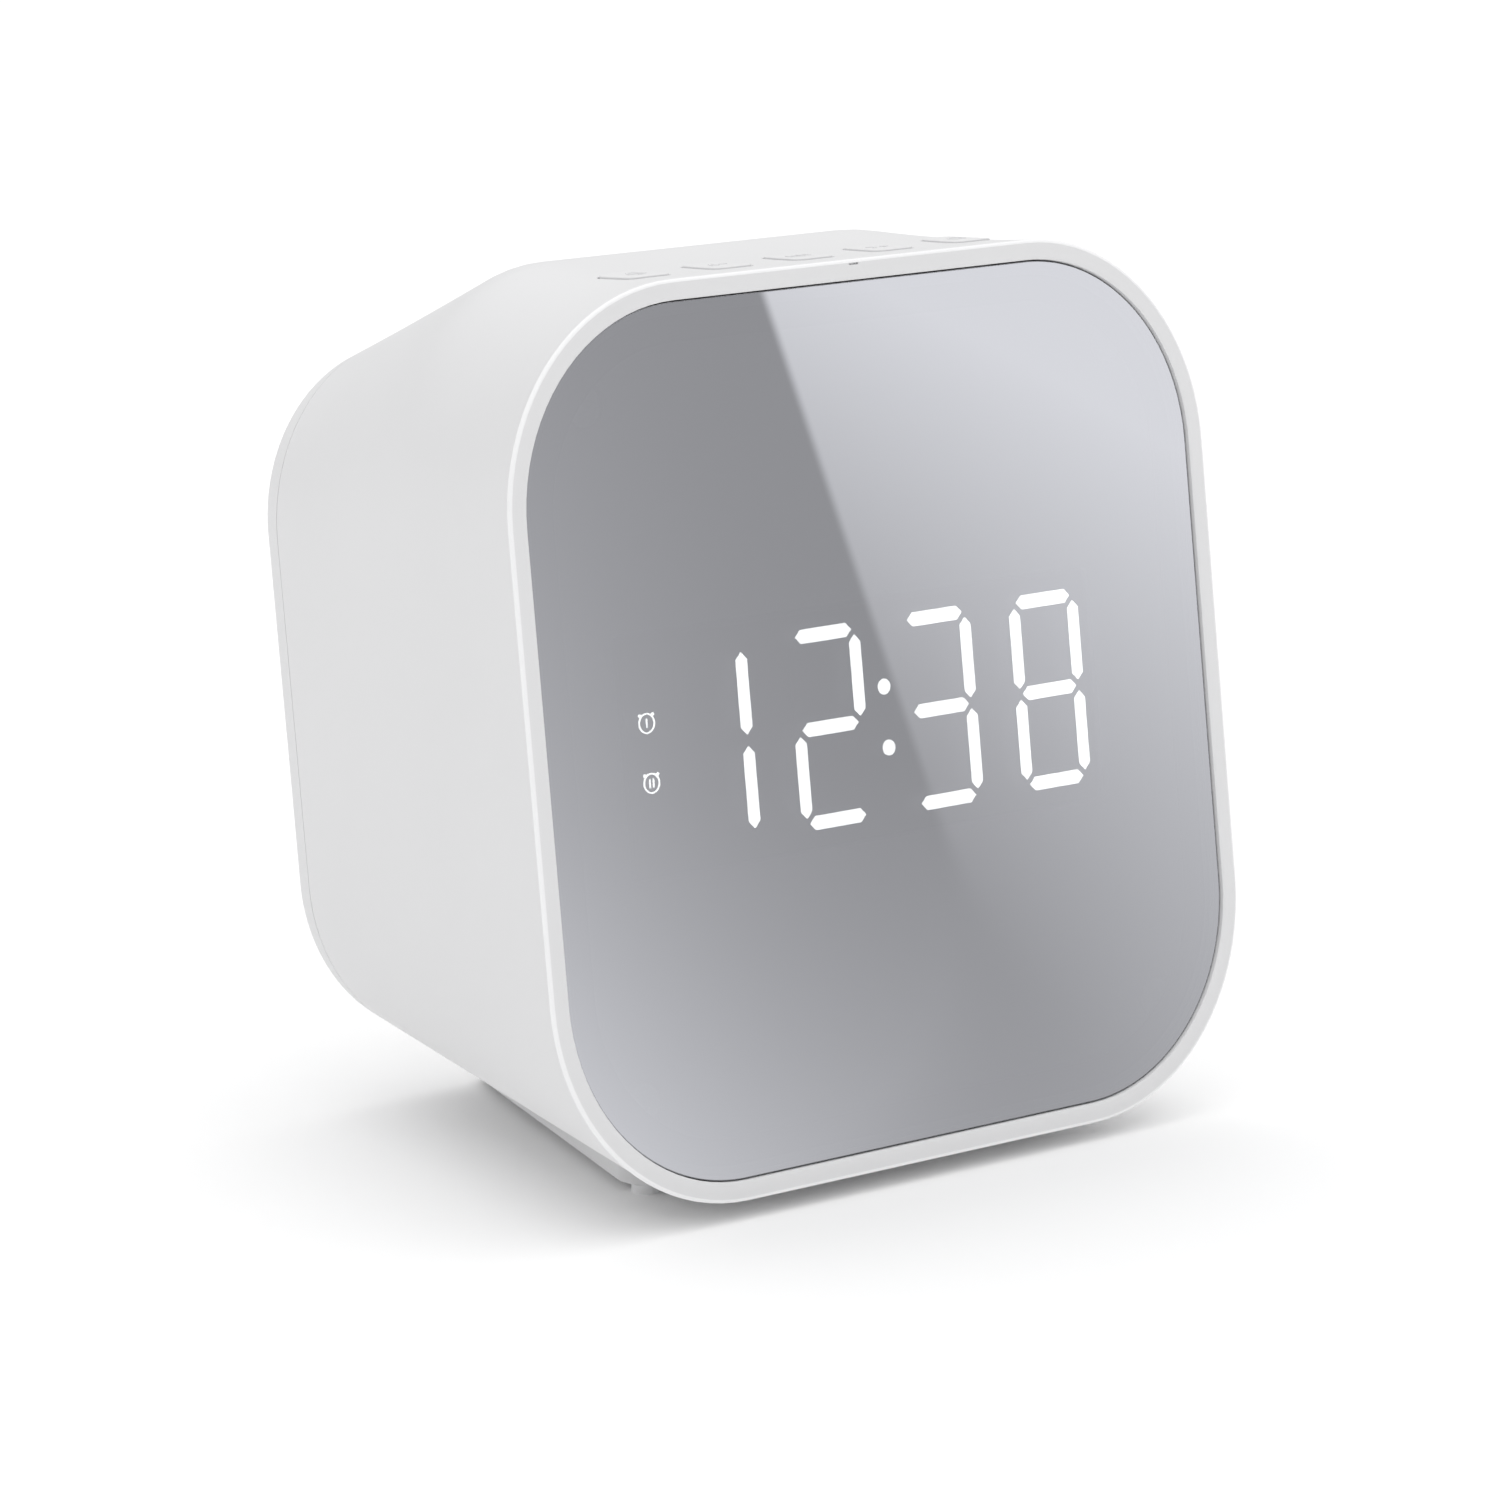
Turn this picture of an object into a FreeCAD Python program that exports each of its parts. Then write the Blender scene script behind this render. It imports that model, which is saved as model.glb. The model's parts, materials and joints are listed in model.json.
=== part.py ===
import FreeCAD, Part
import os
import math
from FreeCAD import Vector, Rotation, Placement

doc = FreeCAD.newDocument("clock_radio")

# ---------------------------------------------------------------- driving dimensions (mm, degrees)
SIZES = [
    ("face_half", 51.25), ("corner_r", 25.25), ("tilt", 7.5), ("depth", 67.8),
    ("fold", 29.0), ("peak", 54.0), ("back_half", 35.48), ("back_top", 44.28), ("back_bottom", 37.5),
    ("back_low_r", 20.36), ("back_up_r", 20.1), ("wall", 2.4), ("rim_round", 0.5),
    ("open_w", 97.8), ("open_r", 22.9), ("mirror_w", 97.5), ("mirror_r", 22.75), ("mirror_t", 1.0),
    ("mirror_set", 0.4), ("tape_t", 0.2), ("rear_t", 3.0), ("rear_round", 0.8),
    ("foot_r", 1.6), ("foot_h", 1.0), ("cell_r", 8.0),
    ("key_w", 5.6), ("key_l", 6.7), ("key_r", 1.1), ("key_gap", 0.25), ("key_pitch", 11.9),
    ("key_front", 6.2), ("key_proud", 0.2), ("stem_r", 1.3), ("plunger_r", 1.0),
    ("digit_w", 10.6), ("digit_h", 22.6), ("digit_pitch", 16.58), ("bar_t", 1.6), ("bar_gap", 0.8),
    ("bar_d", 0.1),
    ("film_t", 0.2), ("board_t", 1.6), ("screw_r", 1.35), ("shift_y", 33.155), ("shift_z", 53.0),
]
sheet = doc.addObject("Spreadsheet::Sheet", "Sizes")
for row, (word, number) in enumerate(SIZES, start=1):
    sheet.set("A%d" % row, word)
    sheet.set("B%d" % row, str(number))
    sheet.setAlias("B%d" % row, word)
doc.recompute()
SIZE = {word: number for word, number in SIZES}

TILT = Placement(Vector(0, -SIZE["shift_y"], SIZE["shift_z"]), Rotation(Vector(1, 0, 0), -SIZE["tilt"]))
LEVEL = Placement(Vector(0, -SIZE["shift_y"], SIZE["shift_z"]), Rotation())
NODES = []


def bind(obj, prop, text):
    """Tie one property to the sheet; every alias in text is written as Sizes.alias."""
    obj.setExpression(prop, text)


# ---------------------------------------------------------------- solids in the tilted body frame
# X runs along the row of digits, Y runs from the front face into the case, Z runs up the front face.

def section(label, depth, half, top, bottom, low_r, up_rx, up_rz):
    """Closed outline at one depth: straight sides joined by round lower and elliptical upper corners."""
    sk = doc.addObject("Sketcher::SketchObject", label)
    sk.Placement = Placement(Vector(0, depth, 0), Rotation(Vector(1, 0, 0), 90))
    low = bottom + low_r
    sk.addGeometry(line(-half + low_r, bottom, half - low_r, bottom), False)
    sk.addGeometry(corner(half - low_r, low, low_r, low_r, 270), False)
    sk.addGeometry(line(half, low, half, top - up_rz), False)
    sk.addGeometry(corner(half - up_rx, top - up_rz, up_rx, up_rz, 0), False)
    sk.addGeometry(line(half - up_rx, top, -half + up_rx, top), False)
    sk.addGeometry(corner(-half + up_rx, top - up_rz, up_rx, up_rz, 90), False)
    sk.addGeometry(line(-half, top - up_rz, -half, low), False)
    sk.addGeometry(corner(-half + low_r, low, low_r, low_r, 180), False)
    return sk


def line(x0, y0, x1, y1):
    """Sketch line between two points."""
    return Part.LineSegment(Vector(x0, y0, 0), Vector(x1, y1, 0))


def corner(cx, cy, rx, ry, start):
    """Quarter turn of a circle or of an upright ellipse, anticlockwise from start degrees."""
    a0 = math.radians(start)
    if abs(rx - ry) < 1e-6:
        circle = Part.Circle(Vector(cx, cy, 0), Vector(0, 0, 1), rx)
        return Part.ArcOfCircle(circle, a0, a0 + math.pi / 2)
    ellipse = Part.Ellipse(Vector(cx, cy + ry, 0), Vector(cx - rx, cy, 0), Vector(cx, cy, 0))
    turned = a0 - math.pi / 2
    return Part.ArcOfEllipse(ellipse, turned, turned + math.pi / 2)


def top_line(depth):
    """Height of the case top at one depth: a hollow rise, a soft fold, then a straight fall."""
    rise_end, fall_start = 25.0, 33.2
    front, peak, fold = SIZE["face_half"], SIZE["peak"], SIZE["fold"]
    up = lambda d: front + (peak - front) * (d / fold) ** 1.7
    down = lambda d: mix(peak, SIZE["back_top"], (d - fold) / (SIZE["depth"] - fold))
    if depth <= rise_end:
        return up(depth)
    if depth >= fall_start:
        return down(depth)
    k = (depth - rise_end) / (fall_start - rise_end)
    return (1 - k) ** 2 * up(rise_end) + 2 * k * (1 - k) * peak + k ** 2 * down(fall_start)


def mix(a, b, k):
    """Value a share k of the way from a to b."""
    return a + (b - a) * k


def case_section(label, depth, inset):
    """Outline of the case at one depth, moved inward by inset."""
    k = depth / SIZE["depth"]
    half = mix(SIZE["face_half"], SIZE["back_half"], k)
    bottom = -mix(SIZE["face_half"], SIZE["back_bottom"], k)
    low_r = mix(SIZE["corner_r"], SIZE["back_low_r"], k)
    up_rx = mix(SIZE["corner_r"], SIZE["back_up_r"], k)
    up_rz = SIZE["corner_r"] + 0.01 + 0.4212 * depth - 0.00733 * depth ** 2
    return section(label, depth, half - inset, top_line(depth) - inset, bottom + inset,
                   low_r - inset, up_rx - inset, up_rz - inset)


def case_loft(label, depths, inset):
    """Solid through the case outlines at the given depths."""
    loft = doc.addObject("Part::Loft", label)
    loft.Sections = [case_section("%s_cut_%d" % (label, i), d, inset) for i, d in enumerate(depths)]
    loft.Solid = True
    loft.Ruled = False
    return loft


def round_plate(label, half_x, half_z, radius, y0, y1, cx=0.0, cz=0.0, driven=None):
    """Rounded rectangular plate from depth y0 to y1 as a sketch and a pad."""
    body = doc.addObject("PartDesign::Body", label)
    sk = plate_sketch(body, label, half_x, half_z, radius, y0, cx, cz)
    pad = body.newObject("PartDesign::Pad", label + "_pad")
    pad.Profile = sk
    pad.Length = y1 - y0
    pad.Reversed = True
    if driven:
        bind(pad, "Length", driven)
    body.Tip = pad
    return body


def plate_sketch(body, label, half_x, half_z, radius, y0, cx=0.0, cz=0.0):
    """Rounded rectangle on the body's front plane, set back to depth y0."""
    sk = body.newObject("Sketcher::SketchObject", label + "_outline")
    sk.AttachmentSupport = [(body.Origin.OriginFeatures[4], "")]
    sk.MapMode = "FlatFace"
    sk.AttachmentOffset = Placement(Vector(0, 0, -y0), Rotation())
    x0, x1, z0, z1, r = cx - half_x, cx + half_x, cz - half_z, cz + half_z, radius
    sk.addGeometry(line(x0 + r, z0, x1 - r, z0), False)
    sk.addGeometry(line(x1, z0 + r, x1, z1 - r), False)
    sk.addGeometry(line(x1 - r, z1, x0 + r, z1), False)
    sk.addGeometry(line(x0, z1 - r, x0, z0 + r), False)
    if r > 0:
        sk.addGeometry(corner(x1 - r, z0 + r, r, r, 270), False)
        sk.addGeometry(corner(x1 - r, z1 - r, r, r, 0), False)
        sk.addGeometry(corner(x0 + r, z1 - r, r, r, 90), False)
        sk.addGeometry(corner(x0 + r, z0 + r, r, r, 180), False)
    return sk


def cut_through(body, label, half_x, half_z, radius, y0, y1, cx=0.0, cz=0.0):
    """Rounded rectangular pocket in a plate from depth y0 to y1, checked by volume."""
    doc.recompute()
    before = body.Shape.Volume
    sk = plate_sketch(body, label, half_x, half_z, radius, y0, cx, cz)
    pocket = body.newObject("PartDesign::Pocket", label + "_pocket")
    pocket.Profile = sk
    pocket.Length = y1 - y0
    pocket.Reversed = True
    body.Tip = pocket
    doc.recompute()
    if not body.Shape.Volume < before - 1e-3:
        pocket.Reversed = False
        doc.recompute()
    if not body.Shape.Volume < before - 1e-3:
        raise RuntimeError("pocket %s removes nothing" % label)
    return body


def box(label, x0, x1, y0, y1, z0, z1):
    """Box between two corners."""
    obj = doc.addObject("Part::Box", label)
    obj.Length, obj.Width, obj.Height = x1 - x0, y1 - y0, z1 - z0
    obj.Placement.Base = Vector(x0, y0, z0)
    return obj


AXES = {"x": Rotation(Vector(0, 1, 0), 90), "y": Rotation(Vector(1, 0, 0), -90), "z": Rotation()}


def rod(label, axis, radius, length, x, y, z, driven=None):
    """Cylinder starting at a point and running along +x, +y or +z."""
    obj = doc.addObject("Part::Cylinder", label)
    obj.Radius, obj.Height = radius, length
    if driven:
        bind(obj, "Radius", driven)
    obj.Placement = Placement(Vector(x, y, z), AXES[axis])
    return obj


def funnel(label, axis, r0, r1, length, x, y, z):
    """Cone frustum starting at a point and running along +x, +y or +z."""
    obj = doc.addObject("Part::Cone", label)
    obj.Radius1, obj.Radius2, obj.Height = r0, r1, length
    obj.Placement = Placement(Vector(x, y, z), AXES[axis])
    return obj


def fuse(label, parts):
    """Union of several features."""
    if len(parts) == 1:
        return parts[0]
    obj = doc.addObject("Part::MultiFuse", label)
    obj.Shapes = parts
    return obj


def cut(label, base, tool):
    """Base minus tool."""
    obj = doc.addObject("Part::Cut", label)
    obj.Base, obj.Tool = base, tool
    return obj


def common(label, base, tool):
    """Shared volume of two features."""
    obj = doc.addObject("Part::Common", label)
    obj.Base, obj.Tool = base, tool
    return obj


def group(label, parts):
    """Several separate solids kept as one node."""
    obj = doc.addObject("Part::Compound", label)
    obj.Links = parts
    return obj


def node(name, obj, frame=TILT):
    """Name a finished sub-part and put it into the shared frame."""
    doc.recompute()
    obj.Label = name
    obj.Placement = frame.multiply(obj.Placement)
    NODES.append((name, obj))
    return obj


def level(obj):
    """Carry a feature built upright on the table into the tilted body frame."""
    obj.Placement = TILT.inverse().multiply(LEVEL).multiply(obj.Placement)
    return obj


def on_top(obj):
    """Carry a feature from the key frame (X row, Y towards the back, Z out) into the body frame."""
    frame = Placement(Vector(0, 0, SIZE["face_half"]), Rotation(Vector(1, 0, 0), KEY_RISE))
    obj.Placement = frame.multiply(obj.Placement)
    return obj


# ---------------------------------------------------------------- case
BACK = SIZE["depth"] - SIZE["rear_t"]
STATIONS = [0.0, 8.0, 16.0, 24.0, 29.0, 34.0, 43.0, 54.0, BACK]
SEAT = 4.0
KEY_RISE = 4.93
KEY_MID = 9.55
KEY_X = [(i - 2) * SIZE["key_pitch"] for i in range(5)]
FRAME_SCREWS = [(sx * 38.5, sz * 38.5) for sx in (-1, 1) for sz in (-1, 1)]
CASE_SCREWS = [(-24.0, 31.0), (24.0, 31.0), (-24.5, -22.5), (24.5, -22.5)]
BASE_SCREWS = [(-19.0, 10.0), (19.0, 10.0), (-15.5, 34.0), (15.5, 34.0)]
BOARD_POSTS = [(-20.0, 20.0), (20.0, 20.0), (-20.0, 51.0), (20.0, 51.0)]
KEY_POSTS = (-32.2, 32.2)
BOARD_Z = -34.0


def upright_rod(label, radius, z0, z1, x, y):
    """Vertical cylinder on the table frame, carried into the body frame."""
    return level(rod(label, "z", radius, z1 - z0, x, y, z0))


def key_block(label, cx, grow, n0, n1, back=0.0):
    """Rounded key prism between two heights of the key frame, widened by grow."""
    width, length = SIZE["key_w"] + 2 * grow, SIZE["key_l"] + grow * 2 + back
    body = doc.addObject("PartDesign::Body", label)
    sk = body.newObject("Sketcher::SketchObject", label + "_outline")
    sk.AttachmentSupport = [(body.Origin.OriginFeatures[3], "")]
    sk.MapMode = "FlatFace"
    sk.AttachmentOffset = Placement(Vector(0, 0, n0), Rotation())
    x0, y0 = cx - width / 2, SIZE["key_front"] - grow
    x1, y1, r = x0 + width, y0 + length, SIZE["key_r"] + grow
    sk.addGeometry([line(x0 + r, y0, x1 - r, y0), line(x1, y0 + r, x1, y1 - r),
                    line(x1 - r, y1, x0 + r, y1), line(x0, y1 - r, x0, y0 + r),
                    corner(x1 - r, y0 + r, r, r, 270), corner(x1 - r, y1 - r, r, r, 0),
                    corner(x0 + r, y1 - r, r, r, 90), corner(x0 + r, y0 + r, r, r, 180)], False)
    pad = body.newObject("PartDesign::Pad", label + "_pad")
    pad.Profile = sk
    pad.Length = n1 - n0
    body.Tip = pad
    return on_top(body)


def make_case():
    """Main moulding: hollow loft with the mirror seat, key openings, bosses and base holes."""
    outer = case_loft("case_outer", STATIONS, 0.0)
    doc.recompute()
    rim = doc.addObject("Part::Fillet", "case_rim_round")
    rim.Base = outer
    rim.Edges = [(i + 1, SIZE["rim_round"], SIZE["rim_round"]) for i, e in enumerate(outer.Shape.Edges)
                 if e.BoundBox.YMax < 0.01]
    inner = case_loft("case_inner", [SEAT] + STATIONS[1:], SIZE["wall"])
    half = SIZE["open_w"] / 2
    mouth = round_plate("case_mouth", half, half, SIZE["open_r"], -2.0, SEAT)
    hollow = cut("case_hollow", rim, fuse("case_room", [inner, mouth]))
    ribs, holes = [], []
    for i, (x, z) in enumerate(FRAME_SCREWS):
        ribs.append(rod("frame_boss_%d" % i, "y", 3.2, 11.0, x, SEAT, z))
        holes.append(rod("frame_boss_bore_%d" % i, "y", SIZE["screw_r"] - 0.1, 8.0, x, SEAT, z))
    for i, (x, z) in enumerate(CASE_SCREWS):
        side = 1 if x > 0 else -1
        ribs.append(rod("case_boss_%d" % i, "y", 3.2, 13.0, x, BACK - 13.0, z))
        ribs.append(box("case_rib_%d" % i, min(x, x + side * 22), max(x, x + side * 22),
                        BACK - 12.0, BACK - 1.0, z - 0.8, z + 0.8))
        holes.append(rod("case_boss_bore_%d" % i, "y", SIZE["screw_r"] - 0.1, 10.0, x, BACK - 10.0, z))
    for i, (x, y) in enumerate(BOARD_POSTS):
        ribs.append(rod("board_post_%d" % i, "z", 2.6, 18.0, x, y, BOARD_Z - 18.0))
        holes.append(rod("board_post_bore_%d" % i, "z", SIZE["screw_r"] - 0.1, 4.0, x, y, BOARD_Z - 4.0))
    for i, x in enumerate(KEY_POSTS):
        ribs.append(on_top(rod("key_post_%d" % i, "z", 1.8, 9.7, x, KEY_MID, -12.5)))
        holes.append(on_top(rod("key_post_bore_%d" % i, "z", 1.0, 4.5, x, KEY_MID, -12.5)))
    for i, (x, y) in enumerate(BASE_SCREWS):
        ribs.append(upright_rod("base_boss_%d" % i, 2.9, -51.0, -43.4, x, y))
        holes.append(upright_rod("base_boss_bore_%d" % i, SIZE["screw_r"] - 0.1, -53.0, -44.4, x, y))
    trimmed = common("case_ribs", fuse("case_rib_set", ribs), case_loft("case_core", STATIONS, 0.4))
    full = fuse("case_body", [hollow, trimmed])
    for i, x in enumerate(KEY_X):
        holes.append(key_block("key_opening_%d" % i, x, SIZE["key_gap"], -4.2, 3.0))
    holes.append(box("rim_notch", -0.7, 0.7, -1.0, 0.3, 50.6, 50.8))
    done = cut("case_drilled", full, fuse("case_hole_set", holes))
    node("main_shell", done)


def make_rear():
    """Rear cover with its rounded edge, speaker grille, plug opening, gland bore and screw pads."""
    blank = case_loft("rear_blank", [BACK, BACK + SIZE["rear_t"]], 0.0)
    blank.Ruled = True
    doc.recompute()
    soft = doc.addObject("Part::Fillet", "rear_round")
    soft.Base = blank
    soft.Edges = [(i + 1, SIZE["rear_round"], SIZE["rear_round"]) for i, e in enumerate(blank.Shape.Edges)
                  if e.BoundBox.YMin > SIZE["depth"] - 0.01]
    pads = [rod("speaker_pad_%d" % i, "y", 3.0, 0.9, x, BACK - 0.7, z)
            for i, (x, z) in enumerate(SPEAKER_SCREWS)]
    bores = [rod("speaker_screw_bore_%d" % i, "y", 1.0, 3.4, x, BACK - 1.0, z)
             for i, (x, z) in enumerate(SPEAKER_SCREWS)]
    bores += [rod("rear_hole_%d" % i, "y", SIZE["screw_r"] + 0.2, 6.0, x, BACK - 1.0, z)
              for i, (x, z) in enumerate(CASE_SCREWS)]
    bores += [rod("rear_sink_%d" % i, "y", 2.9, 4.0, x, SIZE["depth"] - 1.6, z)
              for i, (x, z) in enumerate(CASE_SCREWS)]
    bores.append(rod("plug_bore", "y", PLUG_R, 6.0, JACK_X, BACK - 1.0, JACK_Z))
    bores.append(rod("gland_bore", "y", 2.5, 6.0, -JACK_X, BACK - 1.0, JACK_Z))
    for ring in range(4):
        for i in range(max(1, 6 * ring)):
            turn = 2 * math.pi * i / max(1, 6 * ring)
            bores.append(rod("grille_%d_%d" % (ring, i), "y", 0.95, 6.0, 4.1 * ring * math.cos(turn),
                             BACK - 1.0, SPEAKER_Z + 4.1 * ring * math.sin(turn)))
    solid = fuse("rear_body", [soft] + pads)
    node("rear_cover", cut("rear_drilled", solid, fuse("rear_bores", bores)))


SPEAKER_Z = 13.0
SPEAKER_SCREWS = [(sx * 16.6, SPEAKER_Z + sz * 16.6) for sx in (-1, 1) for sz in (-1, 1)]
JACK_X, JACK_Z, PLUG_R = -12.0, -26.0, 3.6


def screws(name, spots, axis, head_r, head_t, shank_r, length, start, frame=TILT, flip=False):
    """Identical screws as one node: a pan head and a shank that runs on along the axis."""
    parts = []
    for i, (a, b) in enumerate(spots):
        at = (a, start, b) if axis == "y" else (a, b, start)
        step = Vector(0, 1, 0) if axis == "y" else Vector(0, 0, 1)
        head_at = Vector(*at) + step * (0 if not flip else length)
        shank_at = Vector(*at) + step * (head_t if not flip else 0)
        head = rod("%s_head_%d" % (name, i), axis, head_r, head_t, *head_at)
        shank = rod("%s_shank_%d" % (name, i), axis, shank_r, length, *shank_at)
        slot_base = head_at + step * (-0.5 if not flip else head_t - 0.5)
        slot = rod("%s_recess_%d" % (name, i), axis, head_r * 0.35, 1.0, *slot_base)
        parts.append(cut("%s_%d" % (name, i), fuse("%s_body_%d" % (name, i), [head, shank]), slot))
    return parts


def make_base():
    """Base wedge that fits the belly of the case, its cell bay, door slot, screw holes and pegs."""
    body = doc.addObject("PartDesign::Body", "base_blank")
    sk = body.newObject("Sketcher::SketchObject", "base_outline")
    sk.AttachmentSupport = [(body.Origin.OriginFeatures[3], "")]
    sk.MapMode = "FlatFace"
    front_y, back_y, front_x, back_x, r = 6.5, 62.5, 31.4, 12.3, 5.0
    pts = [(-front_x, front_y), (front_x, front_y), (back_x, back_y), (-back_x, back_y)]
    for i in range(4):
        (xa, ya), (xb, yb) = pts[i], pts[(i + 1) % 4]
        sk.addGeometry(line(xa, ya, xb, yb), False)
    pad = body.newObject("PartDesign::Pad", "base_pad")
    pad.Profile = sk
    pad.Length = 9.0
    body.Tip = pad
    doc.recompute()
    corners = ["Edge%d" % (i + 1) for i, e in enumerate(body.Shape.Edges)
               if e.BoundBox.ZLength > 8.0]
    soft = body.newObject("PartDesign::Fillet", "base_corners")
    soft.Base = (pad, corners)
    soft.Radius = r
    body.Tip = soft
    body.Placement = Placement(Vector(0, 0, BASE_Z), Rotation())
    level(body)
    tools = [case_loft("belly", STATIONS + [SIZE["depth"]], 0.0)]
    for i, (x, y) in enumerate(BASE_SCREWS):
        tools.append(upright_rod("base_hole_%d" % i, SIZE["screw_r"] + 0.15, -53.0, -46.0, x, y))
        tools.append(upright_rod("base_sink_%d" % i, 2.6, -53.0, BASE_Z + 1.0, x, y))
    for i, (x, y) in enumerate(FEET):
        tools.append(upright_rod("foot_hole_%d" % i, 1.0, -53.0, BASE_Z + 1.1, x, y))
    tools.append(level(box("door_slot_low", -8.9, 8.9, DOOR_Y - 0.2, 70.0, -53.0, BASE_Z + 0.8)))
    tools.append(level(box("door_slot_high", -10.1, 10.1, DOOR_Y - 0.2, 70.0, BASE_Z + 0.6, BASE_Z + 1.4)))
    tools.append(upright_rod("cell_well", SIZE["cell_r"] + 0.4, BASE_Z + 1.0, BASE_Z + 4.15, 0.0, CELL_Y))
    node("base_plate", cut("base_cut", body, fuse("base_tools", tools)))

    feet = []
    for i, (x, y) in enumerate(FEET):
        disc = rod("foot_disc_%d" % i, "z", SIZE["foot_r"], SIZE["foot_h"], x, y, GROUND_Z, "Sizes.foot_r")
        bind(disc, "Height", "Sizes.foot_h")
        peg = rod("foot_peg_%d" % i, "z", 1.0, 1.0, x, y, GROUND_Z + SIZE["foot_h"])
        feet.append(fuse("foot_%d" % i, [disc, peg]))
    node("feet", group("feet_set", feet), LEVEL)
    door = fuse("door_body", [box("door_low", -8.7, 8.7, DOOR_Y, 62.3, BASE_Z + 0.05, BASE_Z + 0.7),
                              box("door_high", -9.9, 9.9, DOOR_Y, 62.3, BASE_Z + 0.7, BASE_Z + 1.25)])
    grips = [box("door_grip_%d" % i, -4.0, 4.0, 55.0 + 1.2 * i, 55.6 + 1.2 * i, BASE_Z - 1.0, BASE_Z + 0.3)
             for i in range(3)]
    node("battery_door", cut("door_done", door, fuse("door_grips", grips)), LEVEL)
    node("clock_cell", rod("cell", "z", SIZE["cell_r"], 2.5, 0, CELL_Y, BASE_Z + 1.4, "Sizes.cell_r"), LEVEL)
    node("cell_contact_minus", rod("cell_top", "z", 6.0, 0.2, 0, CELL_Y, BASE_Z + 3.9), LEVEL)
    arms = [box("cell_arm_%d" % i, -8.3 + 16.35 * i, -8.05 + 16.35 * i, CELL_Y - 0.8, CELL_Y + 0.8,
                BASE_Z + 1.5, BASE_Z + 3.6) for i in range(2)]
    node("cell_contact_plus", group("cell_arms", arms), LEVEL)
    node("base_screws", group("base_screw_set", screws("base_screw", BASE_SCREWS, "z", 2.3, 0.9,
                                                       SIZE["screw_r"] - 0.1, 6.0, BASE_Z + 0.1)), LEVEL)


GROUND_Z, BASE_Z = -53.0, -52.0
FEET = [(-27.6, 10.0), (27.6, 10.0), (-13.0, 50.0), (13.0, 50.0)]
CELL_Y, DOOR_Y = 49.3, 38.0


# ---------------------------------------------------------------- display
MIRROR_Y = SIZE["mirror_set"]
TAPE_Y = MIRROR_Y + SIZE["mirror_t"]
FILM_Y = TAPE_Y + SIZE["tape_t"] + SIZE["bar_d"] + 0.02
LAMP_Y = FILM_Y + SIZE["film_t"]
DISPLAY_X, DISPLAY_Z = 0.8, -0.6
BOARD_Y = LAMP_Y + 7.8
DISPLAY_SCREWS = [(sx * 40.5, DISPLAY_Z + sz * 15.0) for sx in (-1, 1) for sz in (-1, 1)]
SEGMENTS = {1: "bc", 2: "abged", 3: "abgcd", 8: "abcdefg"}
SHOWN = (1, 2, 3, 8)


def bar(label, x, z, length, upright, y0, y1, thick):
    """One display bar: a long six-sided prism with pointed ends."""
    body = doc.addObject("PartDesign::Body", label)
    sk = body.newObject("Sketcher::SketchObject", label + "_outline")
    sk.AttachmentSupport = [(body.Origin.OriginFeatures[4], "")]
    sk.MapMode = "FlatFace"
    sk.AttachmentOffset = Placement(Vector(0, 0, -y0), Rotation())
    a, b = length / 2, thick / 2
    pts = [(-a, 0), (-a + b, -b), (a - b, -b), (a, 0), (a - b, b), (-a + b, b)]
    if upright:
        pts = [(-q, p) for p, q in pts]
    pts = [(x + p, z + q) for p, q in pts]
    for i in range(6):
        (xa, za), (xb, zb) = pts[i], pts[(i + 1) % 6]
        sk.addGeometry(line(xa, za, xb, zb), False)
    pad = body.newObject("PartDesign::Pad", label + "_pad")
    pad.Profile = sk
    pad.Length = y1 - y0
    pad.Reversed = True
    body.Tip = pad
    return body


def digit_bars(index):
    """Letter, centre and direction of the seven bars of one digit."""
    t = SIZE["bar_t"]
    cx = DISPLAY_X + (index - 1.5) * SIZE["digit_pitch"]
    x = (SIZE["digit_w"] - t) / 2
    z = (SIZE["digit_h"] - t) / 2
    flat, tall = SIZE["digit_w"] - t - SIZE["bar_gap"], z - SIZE["bar_gap"] - 0.5
    return [("a", cx, DISPLAY_Z + z, flat, False), ("g", cx, DISPLAY_Z, flat, False),
            ("d", cx, DISPLAY_Z - z, flat, False),
            ("f", cx - x, DISPLAY_Z + z / 2, tall, True), ("b", cx + x, DISPLAY_Z + z / 2, tall, True),
            ("e", cx - x, DISPLAY_Z - z / 2, tall, True), ("c", cx + x, DISPLAY_Z - z / 2, tall, True)]


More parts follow.
